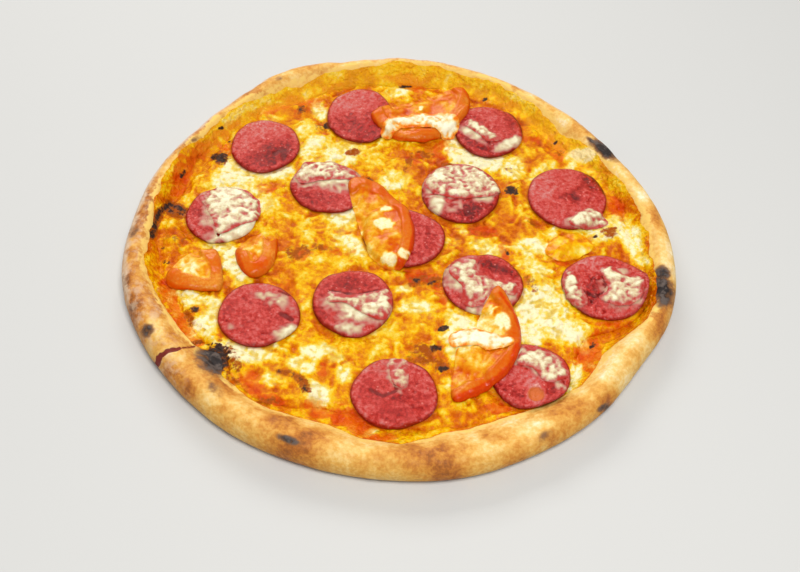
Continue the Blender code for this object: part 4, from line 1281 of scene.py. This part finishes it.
def inside_bed(x, y, insets, ragged):
    """How far each point is inside the edge of the sauce or cheese; insets draw that edge in."""
    angle = np.arctan2(y, x)
    edge = crust_radius(angle) - topping_inset(angle) - around(insets, angle)
    return edge - np.hypot(x, y) + ragged - BUBBLE_RETREAT * bump(x, y, *BURNT_BUBBLE)


def make_sauce(relief):
    def inside(x, y):
        ragged = 1.6 * noise(x, y, 11.0, 95) + 0.9 * rough(x, y, 5.0, 91)
        return inside_bed(x, y, (0,), ragged)

    def thickness(x, y, depth):
        edge = ease(0.0, 4.0, depth)
        body = mixed(SAUCE_EDGE_THICKNESS, SAUCE_THICKNESS, edge)
        pulp = 0.45 * melt(x, y) + 0.15 * rough(x, y, 1.9, 99, 2)
        thin = 1 - 0.8 * bump(x, y, *BURNT_BUBBLE)
        return np.maximum((body * (0.3 + 0.7 * ease(0, 1.2, depth)) + pulp * edge) * thin, 0.05)

    box = (-160, -160, 160, 162)
    return lay_piece(relief, "tomato_sauce", inside, thickness, tone_masks, box, SAUCE_STEP, 0,
                     sauce_look(), closed=False)


def make_cheese(relief):
    def inside(x, y):
        return inside_bed(x, y, CHEESE_INSETS, 2.2 * rough(x, y, 8.0, 111))

    def thickness(x, y, depth):
        edge = ease(0.0, CHEESE_EDGE_WIDTH, depth)
        body = mixed(CHEESE_EDGE_THICKNESS, CHEESE_THICKNESS, edge)
        swell = CHEESE_SWELL * (0.5 + 0.5 * unevenness(x, y, 24.0, CHEESE_WAVES))
        swell = swell + mounds(x, y, CHEESE_MOUNDS)
        free = ease(2.0, 7.0, clear_of_salami(x, y))
        near = ease(0.3, 2.0, clear_of_salami(x, y))
        white = spots(x, y, WHITE_SPOTS, 35, 1.8, 0.4)
        blister = spots(x, y, CHAR_SPOTS, 15, 1.45, 0.4)
        fine = 0.9 * melt(x, y) * (1 - 0.5 * white) + 0.5 * lace(x, y) * white
        fine = fine - 0.1 + 0.14 * rough(x, y, 2.6, 125, 2) + 0.4 * white + 0.4 * blister
        rounded = 0.1 + 0.9 * ease(-0.3, 2.6, depth)
        whole = body * rounded + np.maximum(swell, 0) * free * edge
        whole = whole + fine * (0.35 + 0.65 * near) * edge
        return np.maximum(whole * (1 - 0.85 * bump(x, y, *BURNT_BUBBLE)), 0.08)

    box = (-156, -152, 156, 158)
    return lay_piece(relief, "melted_cheese", inside, thickness, cheese_masks, box, CHEESE_STEP, 0,
                     cheese_look(), closed=False)


def smear_film(x, y):
    """How thickly melted cheese covers the slices: 0 on bare meat, about 1 where it is white."""
    cover = spots(*seen_place(x, y, SLICE_LEVEL), SALAMI_SMEARS, 179)
    return cover + FILM_CONTRAST * lace(x, y) * ease(0.0, 0.4, cover)


def make_salami(relief, index, material):
    centre_x, centre_y, half_width, half_depth = SALAMI[index]
    turns = random.Random(100 + index)
    draw = [turns.uniform(0, 2 * math.pi) for _ in range(2)]
    mean = (half_width + half_depth) / 2
    hole_x, hole_y, hole = SALAMI_HOLE

    def ratio_of(x, y):
        return np.hypot((x - centre_x) / half_width, (y - centre_y) / half_depth)

    def inside(x, y):
        turn = np.arctan2((y - centre_y) / half_depth, (x - centre_x) / half_width)
        wobble = 1 + SALAMI_OUTLINE_WOBBLE * (np.sin(3 * turn + draw[0])
                                              + 0.7 * np.sin(5 * turn + draw[1]))
        return (wobble - ratio_of(x, y)) * mean

    def thickness(x, y, depth):
        ratio = ratio_of(x, y)
        body = mixed(SALAMI_THICKNESS, SALAMI_EDGE_THICKNESS, ease(0.88, 1.0, ratio))
        dome = SALAMI_DOME * np.clip(1 - ratio * ratio, 0.0, None)
        waves = 0.25 * unevenness(x, y, 17.0, SALAMI_WAVES)
        fine = 0.25 * rough(x, y, 7.0, 131 + index) + 0.14 * rough(x, y, 2.6, 151 + index, 2)
        rounded = 0.6 * ease(1.1, 0.0, depth)
        total = body + dome + waves + fine - rounded
        for corners, width, drop in SALAMI_CREASES:
            total = total - drop * ease(width * 1.8, 0.2, line_distance(x, y, corners))
        from_hole = np.hypot(x - hole_x, y - hole_y)
        total = total - 0.9 * ease(hole, hole - 1.2, from_hole)
        total = total + 0.3 * ease(1.4, 0.2, np.abs(from_hole - hole - 0.6))
        total = total + 0.35 * ease(0.3, 0.8, smear_film(x, y))
        return np.maximum(total, 0.4)

    def masks(x, y, z):
        u, v = seen_place(x, y, z)
        # How strongly painted shade darkens each point along the folds and dents.
        crease = np.zeros(np.shape(x))
        for corners, width, drop in SALAMI_CREASES:
            crease = np.maximum(crease, ease(width * 1.3, 0.3, line_distance(x, y, corners)) * drop)
        # Painted sheen on the slices' far halves; darker places on their near halves are real darker
        # meat and painted shade.
        tone = (SALAMI_TONE + 0.1 * noise(x, y, 9.0, 163) + SALAMI_SHEEN * spots(u, v, SALAMI_SHEEN_SPOTS, 175)
                - SALAMI_DARKENING_AND_SHADE * spots(u, v, SALAMI_DARK_AND_SHADE_SPOTS, 171))
        return {
            "tone": tone,
            "rim": ease(1.6, 0.2, inside(x, y) + 0.7 * noise(x, y, 4.0, 165)),
            "smear": smear_film(x, y),
            "crease": crease,
            "hole": ease(hole + 0.4, hole - 0.6, np.hypot(x - hole_x, y - hole_y)),
        }

    margin = 2.0
    box = (centre_x - half_width - margin, centre_y - half_depth - margin,
           centre_x + half_width + margin, centre_y + half_depth + margin)
    return lay_piece(relief, f"salami_{index + 1:02d}", inside, thickness, masks, box, SALAMI_STEP,
                     SALAMI_REACH, material)


def outline_box(outline, margin):
    xs = [p[0] for p in outline]
    ys = [p[1] for p in outline]
    return min(xs) - margin, min(ys) - margin, max(xs) + margin, max(ys) + margin


def tomato_bits(x, y, z):
    """Bits of cheese and seeds on the tomato pieces, 0 to 1."""
    cover = spots(*seen_place(x, y, z), TOMATO_BITS, 195, 1.7, 0.4)
    return ease(0.35, 0.8, cover + 0.4 * lace(x, y) * ease(0.0, 0.4, cover))


def make_tomato(relief, name, material):
    corners, skin = TOMATOES[name]
    outline = closed_curve(corners, OUTLINE_STEP)
    skin_line = [corners[i] for i in range(skin[0], skin[1] + 1)]

    def inside(x, y):
        return inside_outline(x, y, outline) + 0.3 * noise(x, y, 4.0, 181)

    def band(x, y):
        """The smooth wall behind the skin: 1 on it, 0 on the soft flesh inside."""
        if name == "tomato_right":
            return np.zeros(np.shape(x))
        edge = line_distance(x, y, skin_line) + 1.5 * noise(x, y, 7.0, 213)
        return ease(TOMATO_WALL_WIDTH * 1.15, TOMATO_WALL_WIDTH * 0.85, edge)

    def thickness(x, y, depth):
        grown = 1 - np.exp(-depth / TOMATO_EDGE_ROUND)
        wall = band(x, y)
        rise = TOMATO_THICKNESS - TOMATO_EDGE_THICKNESS + TOMATO_WALL_RISE * wall
        rise = rise + 0.35 * (lace(x, y) + melt(x, y)) * (1 - wall)
        fine = 0.2 * rough(x, y, 5.0, 185) + 0.5 * tomato_bits(x, y, TOMATO_LEVEL)
        rounded = 0.7 * ease(1.4, 0.0, depth)
        whole = (TOMATO_EDGE_THICKNESS + rise * grown - rounded
                 + 0.25 * unevenness(x, y, 13.0, TOMATO_WAVES) + fine * grown)
        torn = (1 - wall) * ease(10.0, 1.0, depth)
        return np.maximum(whole * (1 - 0.6 * torn), 0.4)

    def limp(x, y, depth):
        return (1 - band(x, y)) * ease(8.0, 1.0, depth)

    def masks(x, y, z):
        u, v = seen_place(x, y, z)
        pale = TOMATO_PALING * spots(u, v, TOMATO_PALE, 199)
        red = TOMATO_REDDENING * spots(u, v, TOMATO_RED, 203)
        skin = ease(0.1, 0.9, lines(u, v, TOMATO_SKIN_LINES, 191))
        inner = 1 - band(x, y)
        texture = 0.12 * noise(x, y, 7.0, 211) + 0.2 * inner * (lace(x, y) + melt(x, y))
        tone = mixed(TOMATO_TONE, TOMATO_INNER_TONE, inner) - red + texture
        tone = tone + pale * (0.3 + 0.7 * inner)
        tone = mixed(tone, TOMATO_SKIN_TONE, skin)
        tone = mixed(tone, TOMATO_BIT_TONE, tomato_bits(x, y, z))
        share = 1.0 if name == "tomato_right" else TOMATO_SOAKED
        return {"tone": tone, "soaked": share * inner}

    return lay_piece(relief, name, inside, thickness, masks, outline_box(outline, 2), TOMATO_STEP,
                     TOMATO_REACH, material, limp=limp)


def make_patch(relief, name, corners, material):
    outline = closed_curve(corners, OUTLINE_STEP)
    cover = PATCH_COVER.get(name, PATCH_USUAL_COVER)

    def inside(x, y):
        return inside_outline(x, y, outline) + 1.0 * rough(x, y, 5.0, 211)

    def film(x, y, depth):
        return cover * (0.4 + 0.6 * ease(0.0, 4.0, depth)) + FILM_CONTRAST * lace(x, y)

    def thickness(x, y, depth):
        grown = 1 - np.exp(-depth / PATCH_EDGE_ROUND)
        body = mixed(PATCH_EDGE_THICKNESS, PATCH_THICKNESS, grown)
        value = film(x, y, depth)
        cheese = ease(0.2, 0.8, value) * ease(0.0, 1.5, depth)
        return 0.12 + PATCH_FILM * (body + 0.35 * (value - 0.7)) * cheese

    def masks(x, y, z):
        return {
            "film": film(x, y, np.maximum(inside(x, y), 0.0)),
            "on_tomato": np.full(np.shape(x), 1.0 if "tomato" in name else 0.0),
        }

    return lay_piece(relief, name, inside, thickness, masks, outline_box(outline, 3), PATCH_STEP,
                     PATCH_REACH, material)


def make_pizza():
    relief = Relief()
    make_dough(relief)
    make_sauce(relief)
    make_cheese(relief)
    salami = salami_look()
    tomato = tomato_look()
    patch = patch_look()
    for index in range(len(SALAMI)):
        make_salami(relief, index, salami)
    for name, corners in CHEESE_ON_SALAMI.items():
        make_patch(relief, name, corners, patch)
    for name in TOMATOES:
        make_tomato(relief, name, tomato)
    for name, corners in CHEESE_ON_TOMATO.items():
        make_patch(relief, name, corners, patch)


# Surroundings

def make_floor():
    """A plain pale floor under the pizza."""
    bpy.ops.mesh.primitive_plane_add(size=FLOOR_SIZE, location=(0, 0, 0))
    floor = bpy.context.object
    floor.name = "floor"
    look = Look("floor_look")
    look.set("Base Color", colour(*FLOOR_COLOUR))
    look.set("Roughness", 0.7)
    floor.data.materials.append(look.material)


def make_camera():
    data = bpy.data.cameras.new("camera")
    data.lens = CAMERA_LENS
    data.sensor_width = SENSOR_WIDTH
    data.clip_start = 0.01
    camera = bpy.data.objects.new("camera", data)
    bpy.context.scene.collection.objects.link(camera)
    elevation = math.radians(CAMERA_ELEVATION)
    roll = math.radians(CAMERA_ROLL)
    forward = Vector((0, math.cos(elevation), -math.sin(elevation)))
    right = Vector((1, 0, 0))
    up = right.cross(forward)
    turned_right = right * math.cos(roll) + up * math.sin(roll)
    turned_up = up * math.cos(roll) - right * math.sin(roll)
    axes = Matrix((turned_right, turned_up, -forward)).transposed()
    x, y, z = CAMERA_PLACE
    place = Vector((x - MIDDLE[0], y - MIDDLE[1], z)) * MM
    camera.matrix_world = Matrix.Translation(place) @ axes.to_4x4()
    bpy.context.scene.camera = camera


def add_light(name, place, size, power, tint):
    """A soft rectangular light that faces the pizza. Its place and size are in metres."""
    data = bpy.data.lights.new(name, "AREA")
    data.shape = "RECTANGLE"
    data.size, data.size_y = size
    data.energy = power
    data.color = tint
    light = bpy.data.objects.new(name, data)
    light.location = place
    light.rotation_euler = (-Vector(place)).to_track_quat("-Z", "Y").to_euler()
    bpy.context.scene.collection.objects.link(light)


def make_lights():
    for light in LIGHTS:
        add_light(*light)
    world = bpy.data.worlds.new("studio")
    world.use_nodes = True
    background = world.node_tree.nodes["Background"]
    background.inputs["Color"].default_value = (1.0, 1.0, 1.0, 1.0)
    background.inputs["Strength"].default_value = SKY_STRENGTH
    bpy.context.scene.world = world
    bpy.context.scene.view_settings.view_transform = "Standard"


make_pizza()
make_floor()
make_camera()
make_lights()
